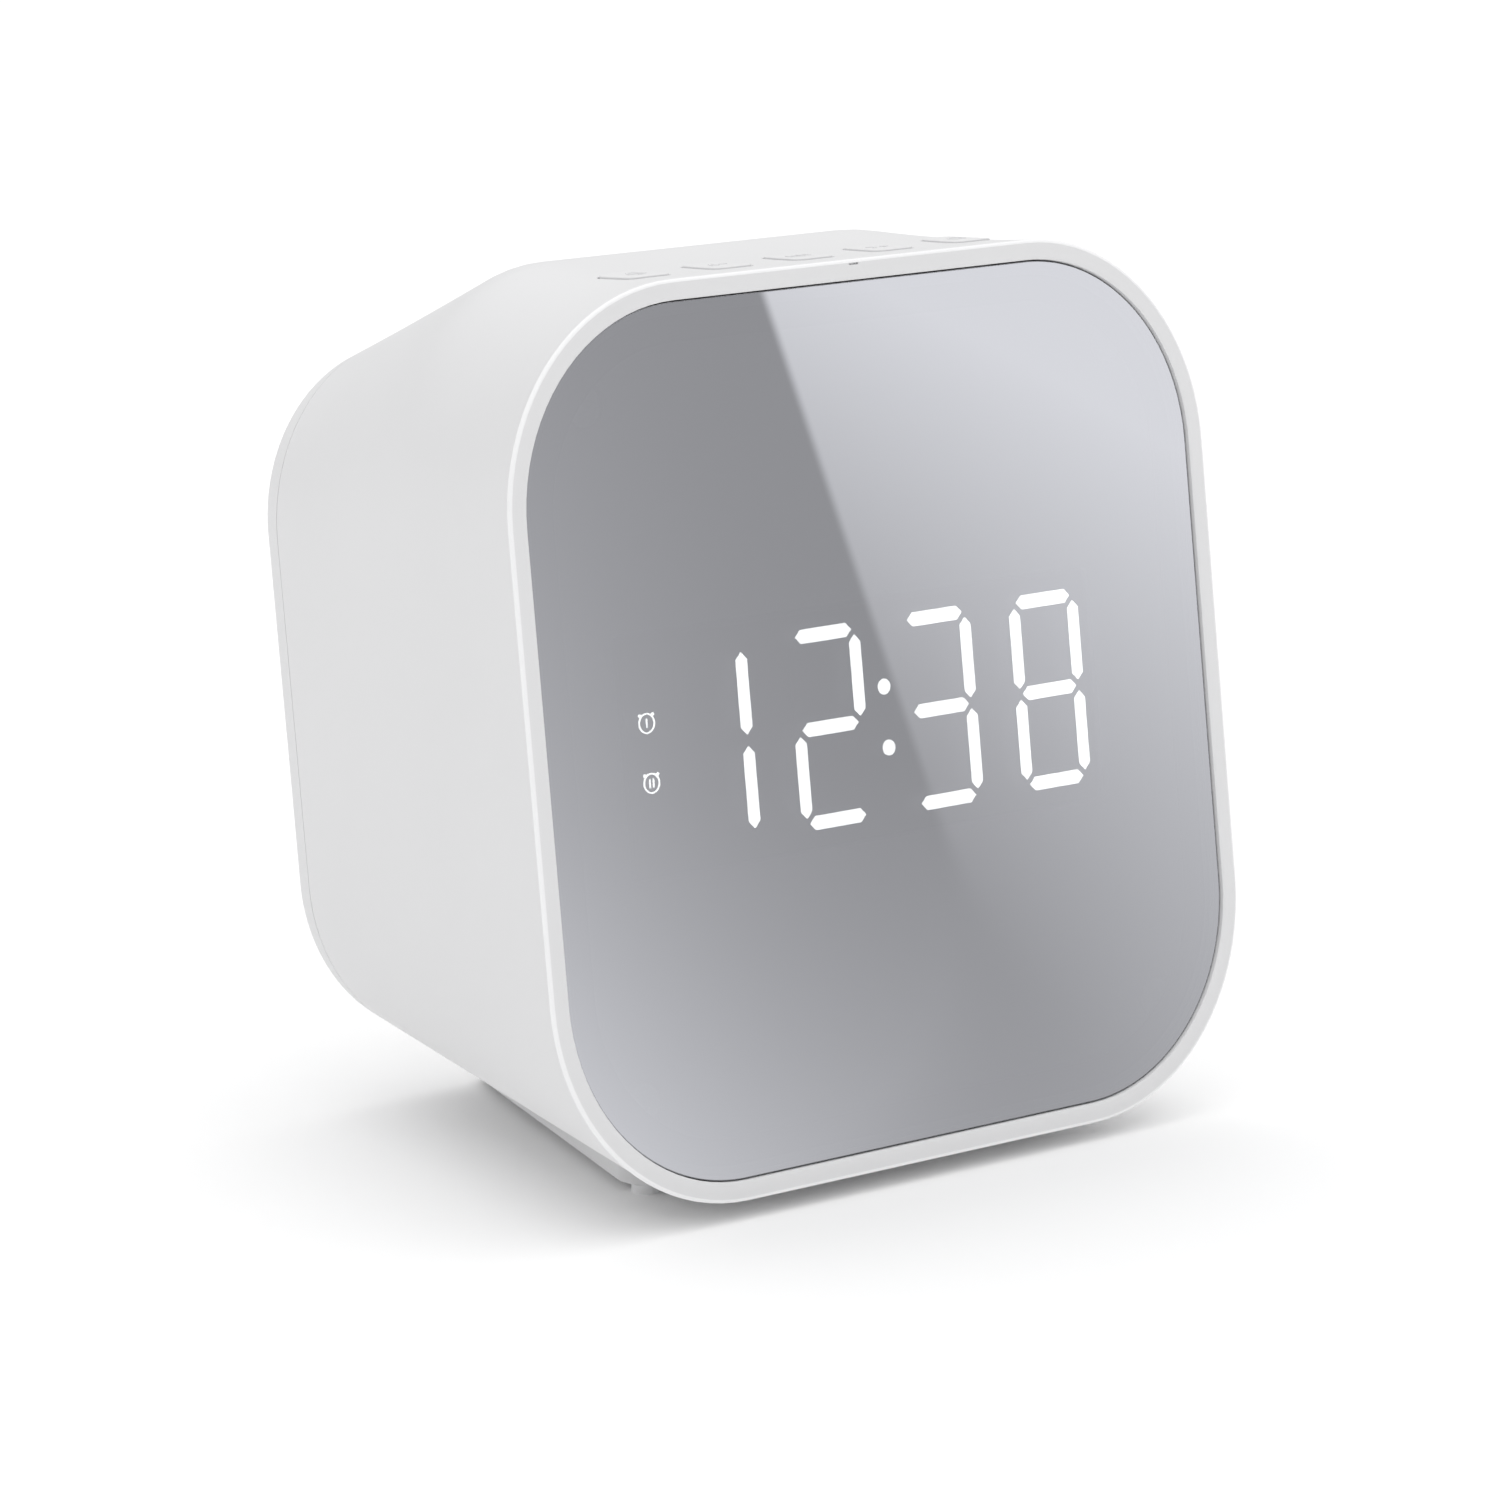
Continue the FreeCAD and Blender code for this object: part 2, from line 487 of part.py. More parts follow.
def make_display():
    """Mirror, its tape, the carrier frame, the light box, the lit and unlit bars and the board."""
    half = SIZE["mirror_w"] / 2
    node("mirror_panel", round_plate("mirror", half, half, SIZE["mirror_r"], MIRROR_Y, TAPE_Y, 0, 0,
                                     "Sizes.mirror_t"))
    tape = round_plate("tape", half - 1.5, half - 1.5, SIZE["mirror_r"] - 1.5, TAPE_Y,
                       TAPE_Y + SIZE["tape_t"], 0, 0, "Sizes.tape_t")
    node("mirror_tape", cut_through(tape, "tape_hole", half - 4.5, half - 4.5, SIZE["mirror_r"] - 4.5,
                                    TAPE_Y - 1, TAPE_Y + 1))
    carrier = round_plate("carrier", 48.3, 48.3, 22.3, TAPE_Y + SIZE["tape_t"], SEAT)
    cut_through(carrier, "carrier_window", 35.2, 13.6, 1.0, TAPE_Y - 1, SEAT + 1, -2.3, DISPLAY_Z)
    posts = [rod("display_post_%d" % i, "y", 2.3, BOARD_Y - SEAT + 0.5, x, SEAT - 0.5, z)
             for i, (x, z) in enumerate(DISPLAY_SCREWS)]
    holes = [rod("display_bore_%d" % i, "y", 0.9, BOARD_Y - SEAT, x, SEAT, z)
             for i, (x, z) in enumerate(DISPLAY_SCREWS)]
    holes += [rod("carrier_hole_%d" % i, "y", SIZE["screw_r"] + 0.1, 6.0, x, 0, z)
              for i, (x, z) in enumerate(FRAME_SCREWS)]
    holes += [rod("carrier_sink_%d" % i, "y", 2.6, 1.2, x, TAPE_Y, z)
              for i, (x, z) in enumerate(FRAME_SCREWS)]
    node("front_frame", cut("carrier_drilled", fuse("carrier_body", [carrier] + posts),
                            fuse("carrier_holes", holes)))
    node("frame_screws", group("frame_screw_set", screws("frame_screw", FRAME_SCREWS, "y", 2.3, 0.9,
                                                         SIZE["screw_r"] - 0.1, 8.0, TAPE_Y + 0.3)))

    node("display_film", round_plate("film", 34.4, 13.0, 0.6, FILM_Y, LAMP_Y, -2.3, DISPLAY_Z,
                                     "Sizes.film_t"))
    lamp = round_plate("lamp", 34.8, 13.3, 0.8, LAMP_Y, BOARD_Y, -2.3, DISPLAY_Z)
    wells, lit, dark, chips = [], [], [], []
    for index, digit in enumerate(SHOWN):
        for letter, x, z, length, upright in digit_bars(index):
            tag = "%d%s" % (index, letter)
            on = letter in SEGMENTS[digit]
            wells.append(bar("well_" + tag, x, z, length, upright, LAMP_Y - 1, BOARD_Y + 1, SIZE["bar_t"]))
            (lit if on else dark).append(bar("bar_" + tag, x, z, length, upright, FILM_Y - SIZE["bar_d"],
                                             FILM_Y, SIZE["bar_t"]))
            chips.append(box("chip_" + tag, x - 0.6, x + 0.6, BOARD_Y - 0.6, BOARD_Y, z - 0.4, z + 0.4))
    for i, z in enumerate((COLON_Z, -COLON_Z)):
        wells.append(rod("colon_well_%d" % i, "y", 0.9, 12.0, DISPLAY_X, LAMP_Y - 1, DISPLAY_Z + z))
        chips.append(box("colon_chip_%d" % i, DISPLAY_X - 0.6, DISPLAY_X + 0.6, BOARD_Y - 0.6, BOARD_Y,
                         DISPLAY_Z + z - 0.4, DISPLAY_Z + z + 0.4))
        wells.append(rod("icon_well_%d" % i, "y", 1.3, 12.0, ICON_X, LAMP_Y - 1, ICON_Z + i * ICON_STEP))
        chips.append(box("icon_chip_%d" % i, ICON_X - 0.6, ICON_X + 0.6, BOARD_Y - 0.6, BOARD_Y,
                         ICON_Z + i * ICON_STEP - 0.4, ICON_Z + i * ICON_STEP + 0.4))
    node("light_box", cut("lamp_cut", lamp, fuse("lamp_wells", wells)))
    node("lit_bars", group("lit_set", lit))
    node("unlit_bars", group("dark_set", dark))
    node("colon_dots", group("colon_set", [
        rod("colon_dot_%d" % i, "y", 0.9, SIZE["bar_d"], DISPLAY_X, FILM_Y - SIZE["bar_d"], DISPLAY_Z + z)
        for i, z in enumerate((COLON_Z, -COLON_Z))]))
    node("alarm_marks", group("icon_set", [alarm_mark(i, ICON_Z + i * ICON_STEP) for i in range(2)]))
    node("display_leds", group("led_set", chips))
    board = round_plate("display_pcb", 44.0, 17.8, 1.0, BOARD_Y, BOARD_Y + SIZE["board_t"], 0, DISPLAY_Z,
                        "Sizes.board_t")
    bores = [rod("display_pcb_hole_%d" % i, "y", 1.3, 4.0, x, BOARD_Y - 1, z)
             for i, (x, z) in enumerate(DISPLAY_SCREWS)]
    node("display_board", cut("display_pcb_cut", board, fuse("display_pcb_holes", bores)))
    parts = screws("display_screw", DISPLAY_SCREWS, "y", 2.0, 1.0, 0.9, 5.5,
                   BOARD_Y + SIZE["board_t"] - 5.5, flip=True)
    node("display_screws", group("display_screw_set", parts))


COLON_Z = 3.47
ICON_X, ICON_Z, ICON_STEP = -33.6, 3.1, -6.63


def alarm_mark(i, z):
    """Tiny alarm clock sign: a ring with two bells and one or two tally strokes inside."""
    thick = SIZE["bar_d"]
    y = FILM_Y - thick
    ring = cut("mark_ring_%d" % i, rod("mark_rim_%d" % i, "y", 1.15, thick, ICON_X, y, z),
               rod("mark_face_%d" % i, "y", 0.97, 1.0, ICON_X, y - 0.3, z))
    parts = [ring]
    for side in (-1, 1):
        parts.append(rod("mark_bell_%d_%d" % (i, side), "y", 0.2, thick, ICON_X + side * 0.9, y, z + 0.92))
    for k in range(i + 1):
        x = ICON_X + (k - i / 2) * 0.5
        parts.append(box("mark_stroke_%d_%d" % (i, k), x - 0.08, x + 0.08, y, y + thick, z - 0.5, z + 0.5))
    return group("mark_all_%d" % i, [fuse("mark_sign_%d" % i, parts[:3])] + parts[3:])


# ---------------------------------------------------------------- keys
def make_keys():
    """Five low key caps with stems, their switch plungers, switch bodies and the key board."""
    skin_over = case_loft("cap_form", STATIONS, -SIZE["key_proud"])
    bodies = []
    for i, x in enumerate(KEY_X):
        letter = "abcde"[i]
        skin = common("cap_skin_" + letter, key_block("cap_block_" + letter, x, 0.0, -4.7, 3.0), skin_over)
        lip = on_top(box("cap_lip_" + letter, x - 3.5, x + 3.5, SIZE["key_front"] - 0.8,
                         SIZE["key_front"] + SIZE["key_l"] + 0.8, -4.7, -3.9))
        stem = on_top(rod("cap_stem_" + letter, "z", SIZE["stem_r"], 3.6, x, KEY_MID, -8.0, "Sizes.stem_r"))
        node("key_" + letter, fuse("cap_" + letter, [skin, lip, stem]))
        node("plunger_" + letter, on_top(rod("push_" + letter, "z", SIZE["plunger_r"], 3.0, x, KEY_MID, -11.0,
                                             "Sizes.plunger_r")))
        shell = box("switch_%d" % i, x - 3, x + 3, KEY_MID - 3, KEY_MID + 3, -12.5, -9.0)
        hole = rod("switch_bore_%d" % i, "z", SIZE["plunger_r"] + 0.05, 3.2, x, KEY_MID, -11.8)
        bodies.append(on_top(cut("switch_body_%d" % i, shell, hole)))
    node("key_switches", group("switch_set", bodies))
    board = box("key_pcb", -34.6, 34.6, KEY_MID - 3.8, KEY_MID + 4.2, -14.1, -12.5)
    bores = [rod("key_pcb_hole_%d" % i, "z", 1.2, 4.0, x, KEY_MID, -16.0) for i, x in enumerate(KEY_POSTS)]
    node("key_board", on_top(cut("key_pcb_cut", board, fuse("key_pcb_holes", bores))))
    spots = [(x, KEY_MID) for x in KEY_POSTS]
    parts = screws("key_screw", spots, "z", 1.8, 0.9, 1.0, 5.5, -15.0)
    node("key_board_screws", on_top(group("key_screw_set", parts)))


# ---------------------------------------------------------------- loudspeaker
def tube(label, r_out, r_in, y0, y1):
    """Ring on the speaker axis between two depths."""
    return cut(label, rod(label + "_out", "y", r_out, y1 - y0, 0, y0, SPEAKER_Z),
               rod(label + "_in", "y", r_in, y1 - y0 + 2, 0, y0 - 1, SPEAKER_Z))


def make_speaker():
    """Small round driver that fires backwards through the grille, in all its pieces."""
    seat = BACK - 0.7
    node("speaker_gasket", tube("gasket", 19.0, 16.6, seat, BACK))
    flange = round_plate("basket_flange", 20.4, 20.4, 4.0, seat - 1.0, seat, 0, SPEAKER_Z)
    wall = funnel("basket_wall", "y", 10.4, 18.2, 6.6, 0, seat - 7.6, SPEAKER_Z)
    room = funnel("basket_room", "y", 9.6, 17.4, 6.6, 0, seat - 7.6, SPEAKER_Z)
    floor_plate = rod("basket_floor", "y", 10.4, 1.0, 0, seat - 8.6, SPEAKER_Z)
    mouth = rod("basket_mouth", "y", 16.8, 4.0, 0, seat - 1.8, SPEAKER_Z)
    hole = rod("basket_hole", "y", 5.2, 4.0, 0, seat - 10.0, SPEAKER_Z)
    bores = [rod("basket_bore_%d" % i, "y", 1.25, 4.0, x, seat - 3.0, z)
             for i, (x, z) in enumerate(SPEAKER_SCREWS)]
    vents = []
    for i in range(4):
        turn = math.pi / 4 + i * math.pi / 2
        vents.append(rod("basket_vent_%d" % i, "y", 2.0, 5.0, 13.4 * math.cos(turn), seat - 6.4,
                         SPEAKER_Z + 13.4 * math.sin(turn)))
    metal = fuse("basket_metal", [flange, wall, floor_plate])
    node("speaker_basket", cut("basket_done", metal, fuse("basket_tools", [room, mouth, hole] + bores + vents)))
    low = seat - 8.6
    node("speaker_top_plate", tube("top_plate", 8.6, 4.45, low - 1.2, low))
    node("speaker_magnet", tube("magnet", 9.2, 5.4, low - 5.2, low - 1.2))
    back = rod("yoke_plate", "y", 8.6, 1.4, 0, low - 6.6, SPEAKER_Z)
    pole = rod("yoke_pole", "y", 3.5, 5.4, 0, low - 5.4, SPEAKER_Z)
    node("speaker_yoke", fuse("yoke", [back, pole]))
    node("voice_coil", tube("coil", 4.15, 3.8, low - 2.6, seat - 5.4))
    paper = cut("cone_paper", funnel("cone_out", "y", 4.6, 14.2, 4.2, 0, seat - 5.6, SPEAKER_Z),
                funnel("cone_in", "y", 4.15, 13.75, 4.2, 0, seat - 5.6, SPEAKER_Z))
    node("speaker_cone", paper)
    node("dust_cap", rod("cap_disc", "y", 4.15, 0.3, 0, seat - 5.4, SPEAKER_Z))
    node("speaker_surround", tube("surround", 16.8, 14.2, seat - 1.8, seat - 1.4))
    node("speaker_spider", tube("spider", 10.2, 4.15, seat - 7.0, seat - 6.8))
    node("speaker_screws", group("speaker_screw_set", screws(
        "speaker_screw", SPEAKER_SCREWS, "y", 2.0, 0.9, 1.0, 3.8, seat - 1.9)))
    node("speaker_terminal", box("terminal", -4.0, 4.0, seat - 3.6, seat - 1.0, SPEAKER_Z - 20.3,
                                 SPEAKER_Z - 18.4))


# ---------------------------------------------------------------- electronics
def make_electronics():
    """Main board on its posts with the parts it carries, the power jack and the antenna gland."""
    top = BOARD_Z + SIZE["board_t"]
    pcb = box("main_pcb", -24.0, 24.0, 16.0, 62.0, BOARD_Z, top)
    bores = [rod("main_pcb_hole_%d" % i, "z", 1.5, 4.0, x, y, BOARD_Z - 1)
             for i, (x, y) in enumerate(BOARD_POSTS)]
    node("main_board", cut("main_pcb_cut", pcb, fuse("main_pcb_holes", bores)))
    parts = screws("board_screw", BOARD_POSTS, "z", 2.4, 1.0, SIZE["screw_r"] - 0.1, 5.2, top - 5.2, flip=True)
    node("board_screws", group("board_screw_set", parts))
    node("clock_chip", box("clock_ic", -8.0, 4.0, 24.0, 36.0, top, top + 1.6))
    node("tuner_can", box("tuner_shield", 7.0, 18.0, 32.0, 46.0, top, top + 4.0))
    node("sound_chip", box("sound_ic", -12.0, -7.0, 42.0, 46.0, top, top + 1.5))
    node("clock_crystal", rod("crystal", "y", 1.5, 8.0, 10.0, 20.0, top + 1.5))
    cans = [rod("can_%d" % i, "z", r, h, x, y, top)
            for i, (x, y, r, h) in enumerate([(-15.5, 30.0, 4.0, 11.0), (-16.0, 40.0, 3.2, 8.0),
                                              (2.0, 42.0, 2.5, 6.0), (2.0, 49.0, 2.5, 6.0)])]
    node("capacitors", group("can_set", cans))
    body = box("jack_box", JACK_X - 4.5, JACK_X + 4.5, BACK - 12.3, BACK - 0.3, top, JACK_Z + 4.6)
    socket = rod("jack_bore", "y", 3.1, 10.0, JACK_X, BACK - 10.3, JACK_Z)
    pin = rod("jack_pin", "y", 0.65, 9.0, JACK_X, BACK - 11.3, JACK_Z)
    node("power_jack", fuse("jack_whole", [cut("jack_body", body, socket), pin]))
    flange = rod("gland_flange", "y", 3.4, 1.0, -JACK_X, SIZE["depth"], JACK_Z)
    neck = rod("gland_neck", "y", 2.5, SIZE["rear_t"], -JACK_X, BACK, JACK_Z)
    bind(neck, "Height", "Sizes.rear_t")
    lip = rod("gland_lip", "y", 3.2, 1.0, -JACK_X, BACK - 1.0, JACK_Z)
    wire_hole = rod("gland_hole", "y", 0.9, 8.0, -JACK_X, BACK - 2.0, JACK_Z)
    node("antenna_gland", cut("gland", fuse("gland_body", [flange, neck, lip]), wire_hole))
    node("case_screws", group("case_screw_set", screws(
        "case_screw", CASE_SCREWS, "y", 2.6, 1.2, SIZE["screw_r"] - 0.1, 8.5,
        SIZE["depth"] - 1.6 - 8.5, flip=True)))


def strip(label, points, x0, x1, thick):
    """Flat cable: a thin band that follows a line of points (depth, height)."""
    parts = []
    for i in range(len(points) - 1):
        (ya, za), (yb, zb) = points[i], points[i + 1]
        run = math.hypot(yb - ya, zb - za)
        piece = doc.addObject("Part::Box", "%s_%d" % (label, i))
        piece.Length, piece.Width, piece.Height = x1 - x0, run + thick, thick
        turn = math.degrees(math.atan2(zb - za, yb - ya))
        piece.Placement = Placement(Vector(x0, ya, za), Rotation(Vector(1, 0, 0), turn)).multiply(
            Placement(Vector(0, -thick / 2, -thick / 2), Rotation()))
        parts.append(piece)
    return fuse(label, parts)


def make_cables():
    """Two flat cables from the boards to the main board and the pair of speaker wires."""
    top = BOARD_Z + SIZE["board_t"]
    back = BOARD_Y + SIZE["board_t"]
    node("display_cable", strip("display_band", [(back + 0.2, -8.0), (back + 3.0, -9.0), (17.5, -20.0),
                                                 (17.5, top + 0.2)], -6.0, 4.0, 0.4))
    node("key_cable", strip("key_band", [(12.0, 37.85), (18.5, 34.0), (21.0, -10.0), (21.0, top + 0.2)],
                            -16.5, -9.5, 0.4))
    wires = []
    for i, x in enumerate((-2.0, 2.0)):
        path = doc.addObject("Part::Feature", "wire_path_%d" % i)
        knots = [Vector(x, BACK - 3.1, SPEAKER_Z - 20.3), Vector(x, 60.0, -14.0), Vector(x, 55.5, -25.0),
                 Vector(x, 53.5, top)]
        curve = Part.BSplineCurve()
        curve.interpolate(knots)
        path.Shape = Part.Wire(curve.toShape())
        ring = doc.addObject("Part::Feature", "wire_ring_%d" % i)
        ring.Shape = Part.Wire(Part.makeCircle(0.55, knots[0], curve.tangent(curve.FirstParameter)[0]))
        sweep = doc.addObject("Part::Sweep", "wire_%d" % i)
        sweep.Sections = [ring]
        sweep.Spine = (path, [])
        sweep.Solid = True
        sweep.Frenet = False
        wires.append(sweep)
    node("speaker_wires", group("wire_set", wires))


def write_out():
    """Refuse to write anything that failed, then save one STEP file per sub-part."""
    doc.recompute()
    for obj in doc.Objects:
        if "Invalid" in obj.State or "Error" in obj.State:
            raise RuntimeError("feature %s (%s) failed" % (obj.Label, obj.TypeId))
    os.makedirs("parts", exist_ok=True)
    whole = FreeCAD.BoundBox()
    for name, obj in NODES:
        shape = obj.Shape
        if shape.isNull() or not shape.isValid() or not shape.Solids:
            raise RuntimeError("node %s has no sound solid" % name)
        whole.add(shape.BoundBox)
        shape.exportStep("parts/%s.step" % name)
        print("%-20s solids %3d volume %10.2f" % (name, len(shape.Solids), shape.Volume))
    print("nodes", len(NODES), "box", whole)


make_case()
make_rear()
make_base()
make_display()
make_keys()
make_speaker()
make_electronics()
make_cables()
write_out()
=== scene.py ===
"""Looks of a mirror-fronted clock radio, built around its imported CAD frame.

The row frame has +Z up and the mirror looking towards -Y. The case, its keys and its display are laid
out in a tilted case frame (x along the digits, depth into the case, z up the face), which the classes
below turn into row-frame metres.
"""
import json
import logging
import math
from dataclasses import dataclass, field, replace
from enum import Enum
from typing import Any, Optional, Sequence

import bmesh
import bpy
import numpy as np
from mathutils import Matrix, Vector


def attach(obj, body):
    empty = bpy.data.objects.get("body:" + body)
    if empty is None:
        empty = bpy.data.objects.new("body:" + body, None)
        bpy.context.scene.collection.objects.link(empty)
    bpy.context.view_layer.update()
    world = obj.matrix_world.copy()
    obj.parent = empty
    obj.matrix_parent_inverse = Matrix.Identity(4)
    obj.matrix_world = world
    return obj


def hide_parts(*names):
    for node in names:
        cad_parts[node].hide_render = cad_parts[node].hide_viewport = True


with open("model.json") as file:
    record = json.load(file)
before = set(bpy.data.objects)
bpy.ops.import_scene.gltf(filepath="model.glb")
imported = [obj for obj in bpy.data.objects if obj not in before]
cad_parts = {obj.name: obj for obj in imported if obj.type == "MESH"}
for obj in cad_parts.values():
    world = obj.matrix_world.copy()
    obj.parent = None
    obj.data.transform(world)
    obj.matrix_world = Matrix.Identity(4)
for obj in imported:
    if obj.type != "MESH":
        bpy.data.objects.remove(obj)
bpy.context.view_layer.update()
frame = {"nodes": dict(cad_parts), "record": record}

log = logging.getLogger("clock_radio")
MM = 0.001
BOX_FACES = ((3, 2, 1, 0), (4, 5, 6, 7), (0, 1, 5, 4), (1, 2, 6, 5), (2, 3, 7, 6), (3, 0, 4, 7))


# ------------------------------------------------------------------------------------------ helpers
def rgba(code: str) -> tuple[float, float, float, float]:
    """Turn an sRGB hex colour into the linear values that shaders take.

    Args:
        code: Colour as "#rrggbb".

    Returns:
        Red, green, blue and an alpha of 1.
    """
    parts = [int(code[i:i + 2], 16) / 255 for i in (1, 3, 5)]
    line = [p / 12.92 if p <= 0.04045 else ((p + 0.055) / 1.055) ** 2.4 for p in parts]
    return (line[0], line[1], line[2], 1.0)


def add_node(tree: bpy.types.NodeTree, kind: str, settings: Optional[dict[str, Any]] = None,
             links: Optional[dict[Any, bpy.types.NodeSocket]] = None) -> bpy.types.Node:
    """Add one node, set its values and wire its inputs.

    Args:
        tree: Node tree to add to.
        kind: Blender node type name.
        settings: Property names or input names with their values.
        links: Input names or numbers with the output sockets that feed them.

    Returns:
        The new node.
    """
    node = tree.nodes.new(kind)
    for key, value in (settings or {}).items():
        if isinstance(key, str) and hasattr(node, key):
            setattr(node, key, value)
        else:
            node.inputs[key].default_value = value
    for key, socket in (links or {}).items():
        tree.links.new(socket, node.inputs[key])
    return node


def mesh_object(name: str, points: np.ndarray, faces: Sequence[Sequence[int]],
                smooth_deg: float = 35.0) -> bpy.types.Object:
    """Make an object at the origin from row-frame points and outward-facing polygons.

    Args:
        name: Object and mesh name.
        points: Array of row-frame positions in metres, one row each.
        faces: Vertex numbers of each polygon.
        smooth_deg: Edges sharper than this many degrees are shaded as creases.

    Returns:
        The new object, linked into the scene.
    """
    mesh = bpy.data.meshes.new(name)
    mesh.from_pydata(np.asarray(points, float).tolist(), [], [list(f) for f in faces])
    mesh.validate()
    mesh.shade_smooth()
    mesh.set_sharp_from_angle(angle=math.radians(smooth_deg))
    obj = bpy.data.objects.new(name, mesh)
    bpy.context.scene.collection.objects.link(obj)
    return obj


def ring_faces(rows: int, count: int, closed_rows: bool = False) -> list[tuple[int, int, int, int]]:
    """Quads between successive rings of equal point count.

    Args:
        rows: Number of rings.
        count: Points in each ring, joined end to end.
        closed_rows: Also join the last ring to the first.

    Returns:
        Polygons that face outwards when rings run anticlockwise as seen from the first one.
    """
    faces = []
    for i in range(rows if closed_rows else rows - 1):
        low, high = i * count, ((i + 1) % rows) * count
        for j in range(count):
            k = (j + 1) % count
            faces.append((low + j, high + j, high + k, low + k))
    return faces


def rounded_loop(corners: Sequence[tuple[float, float, float, float, float]], turn: int,
                 flat: int) -> np.ndarray:
    """Sample a closed plane outline of corner arcs joined by straight runs, anticlockwise.

    The corner point at angle a is centre + (rx cos a, ry sin a); the runs join their ends evenly.

    Args:
        corners: Centre, two radii and start angle in degrees of each corner.
        turn: Points on each corner.
        flat: Points on each straight run.

    Returns:
        Rows of two plane coordinates.
    """
    arcs = []
    for cx, cy, rx, ry, start in corners:
        a = np.radians(start + 90 * np.linspace(0, 1, turn))
        arcs.append(np.column_stack([cx + rx * np.cos(a), cy + ry * np.sin(a)]))
    share = np.linspace(0, 1, flat + 2)[1:-1, None]
    parts = []
    for arc, after in zip(arcs, arcs[1:] + arcs[:1]):
        parts += [arc, arc[-1] * (1 - share) + after[0] * share]
    return np.vstack(parts)


def orient_outwards(obj: bpy.types.Object) -> None:
    """Turn every face of a closed mesh outwards.

    Args:
        obj: Object with a closed mesh.
    """
    work = bmesh.new()
    work.from_mesh(obj.data)
    bmesh.ops.recalc_face_normals(work, faces=work.faces)
    work.to_mesh(obj.data)
    work.free()


def bake_modifiers(obj: bpy.types.Object) -> None:
    """Replace an object's mesh by its evaluated mesh and drop the modifiers.

    Args:
        obj: Object to settle.
    """
    graph = bpy.context.evaluated_depsgraph_get()
    done = bpy.data.meshes.new_from_object(obj.evaluated_get(graph))
    obj.modifiers.clear()
    old, obj.data = obj.data, done
    bpy.data.meshes.remove(old)


# --------------------------------------------------------------------------------- frame and shapes
@dataclass(frozen=True)
class CaseFrame:
    """Where the tilted case frame sits in the row frame.

    Attributes:
        tilt_deg: How far the face leans back.
        centre_y: Row-frame y of the middle of the face, in mm.
        centre_z: Row-frame height of the middle of the face, in mm.
    """

    tilt_deg: float = 7.5
    centre_y: float = -33.155
    centre_z: float = 53.0

    def to_row(self, points: np.ndarray) -> np.ndarray:
        """Turn case-frame millimetres into row-frame metres.

        Args:
            points: Rows of x, depth and z in mm.

        Returns:
            Rows of x, y and z in metres.
        """
        p = np.asarray(points, float)
        c, s = math.cos(math.radians(self.tilt_deg)), math.sin(math.radians(self.tilt_deg))
        y = c * p[:, 1] + s * p[:, 2] + self.centre_y
        z = -s * p[:, 1] + c * p[:, 2] + self.centre_z
        return np.column_stack([p[:, 0], y, z]) * MM


@dataclass(frozen=True)
class Outline:
    """Closed outline of the case at one depth.

    Attributes:
        depth: Distance behind the face, in mm.
        half: Half width.
        top: Height of the top line above the middle of the face.
        bottom: Height of the bottom line.
        low_r: Radius of the two lower corners.
        up_rx: Half width of the upper corner ellipses.
        up_rz: Half height of the upper corner ellipses.
    """

    depth: float
    half: float
    top: float
    bottom: float
    low_r: float
    up_rx: float
    up_rz: float

    def ring(self, flat: int = 14, turn: int = 22) -> np.ndarray:
        """Sample the outline as four straight runs joined by quarter ellipses.

        Args:
            flat: Points on each straight run.
            turn: Points on each corner.

        Returns:
            Case-frame points, anticlockwise as seen from the front.
        """
        low_x, low_z = self.half - self.low_r, self.bottom + self.low_r
        up_x, up_z = self.half - self.up_rx, self.top - self.up_rz
        plane = rounded_loop([(low_x, low_z, self.low_r, self.low_r, -90),
                              (up_x, up_z, self.up_rx, self.up_rz, 0),
                              (-up_x, up_z, self.up_rx, self.up_rz, 90),
                              (-low_x, low_z, self.low_r, self.low_r, 180)], turn, flat)
        return np.column_stack([plane[:, 0], np.full(len(plane), self.depth), plane[:, 1]])


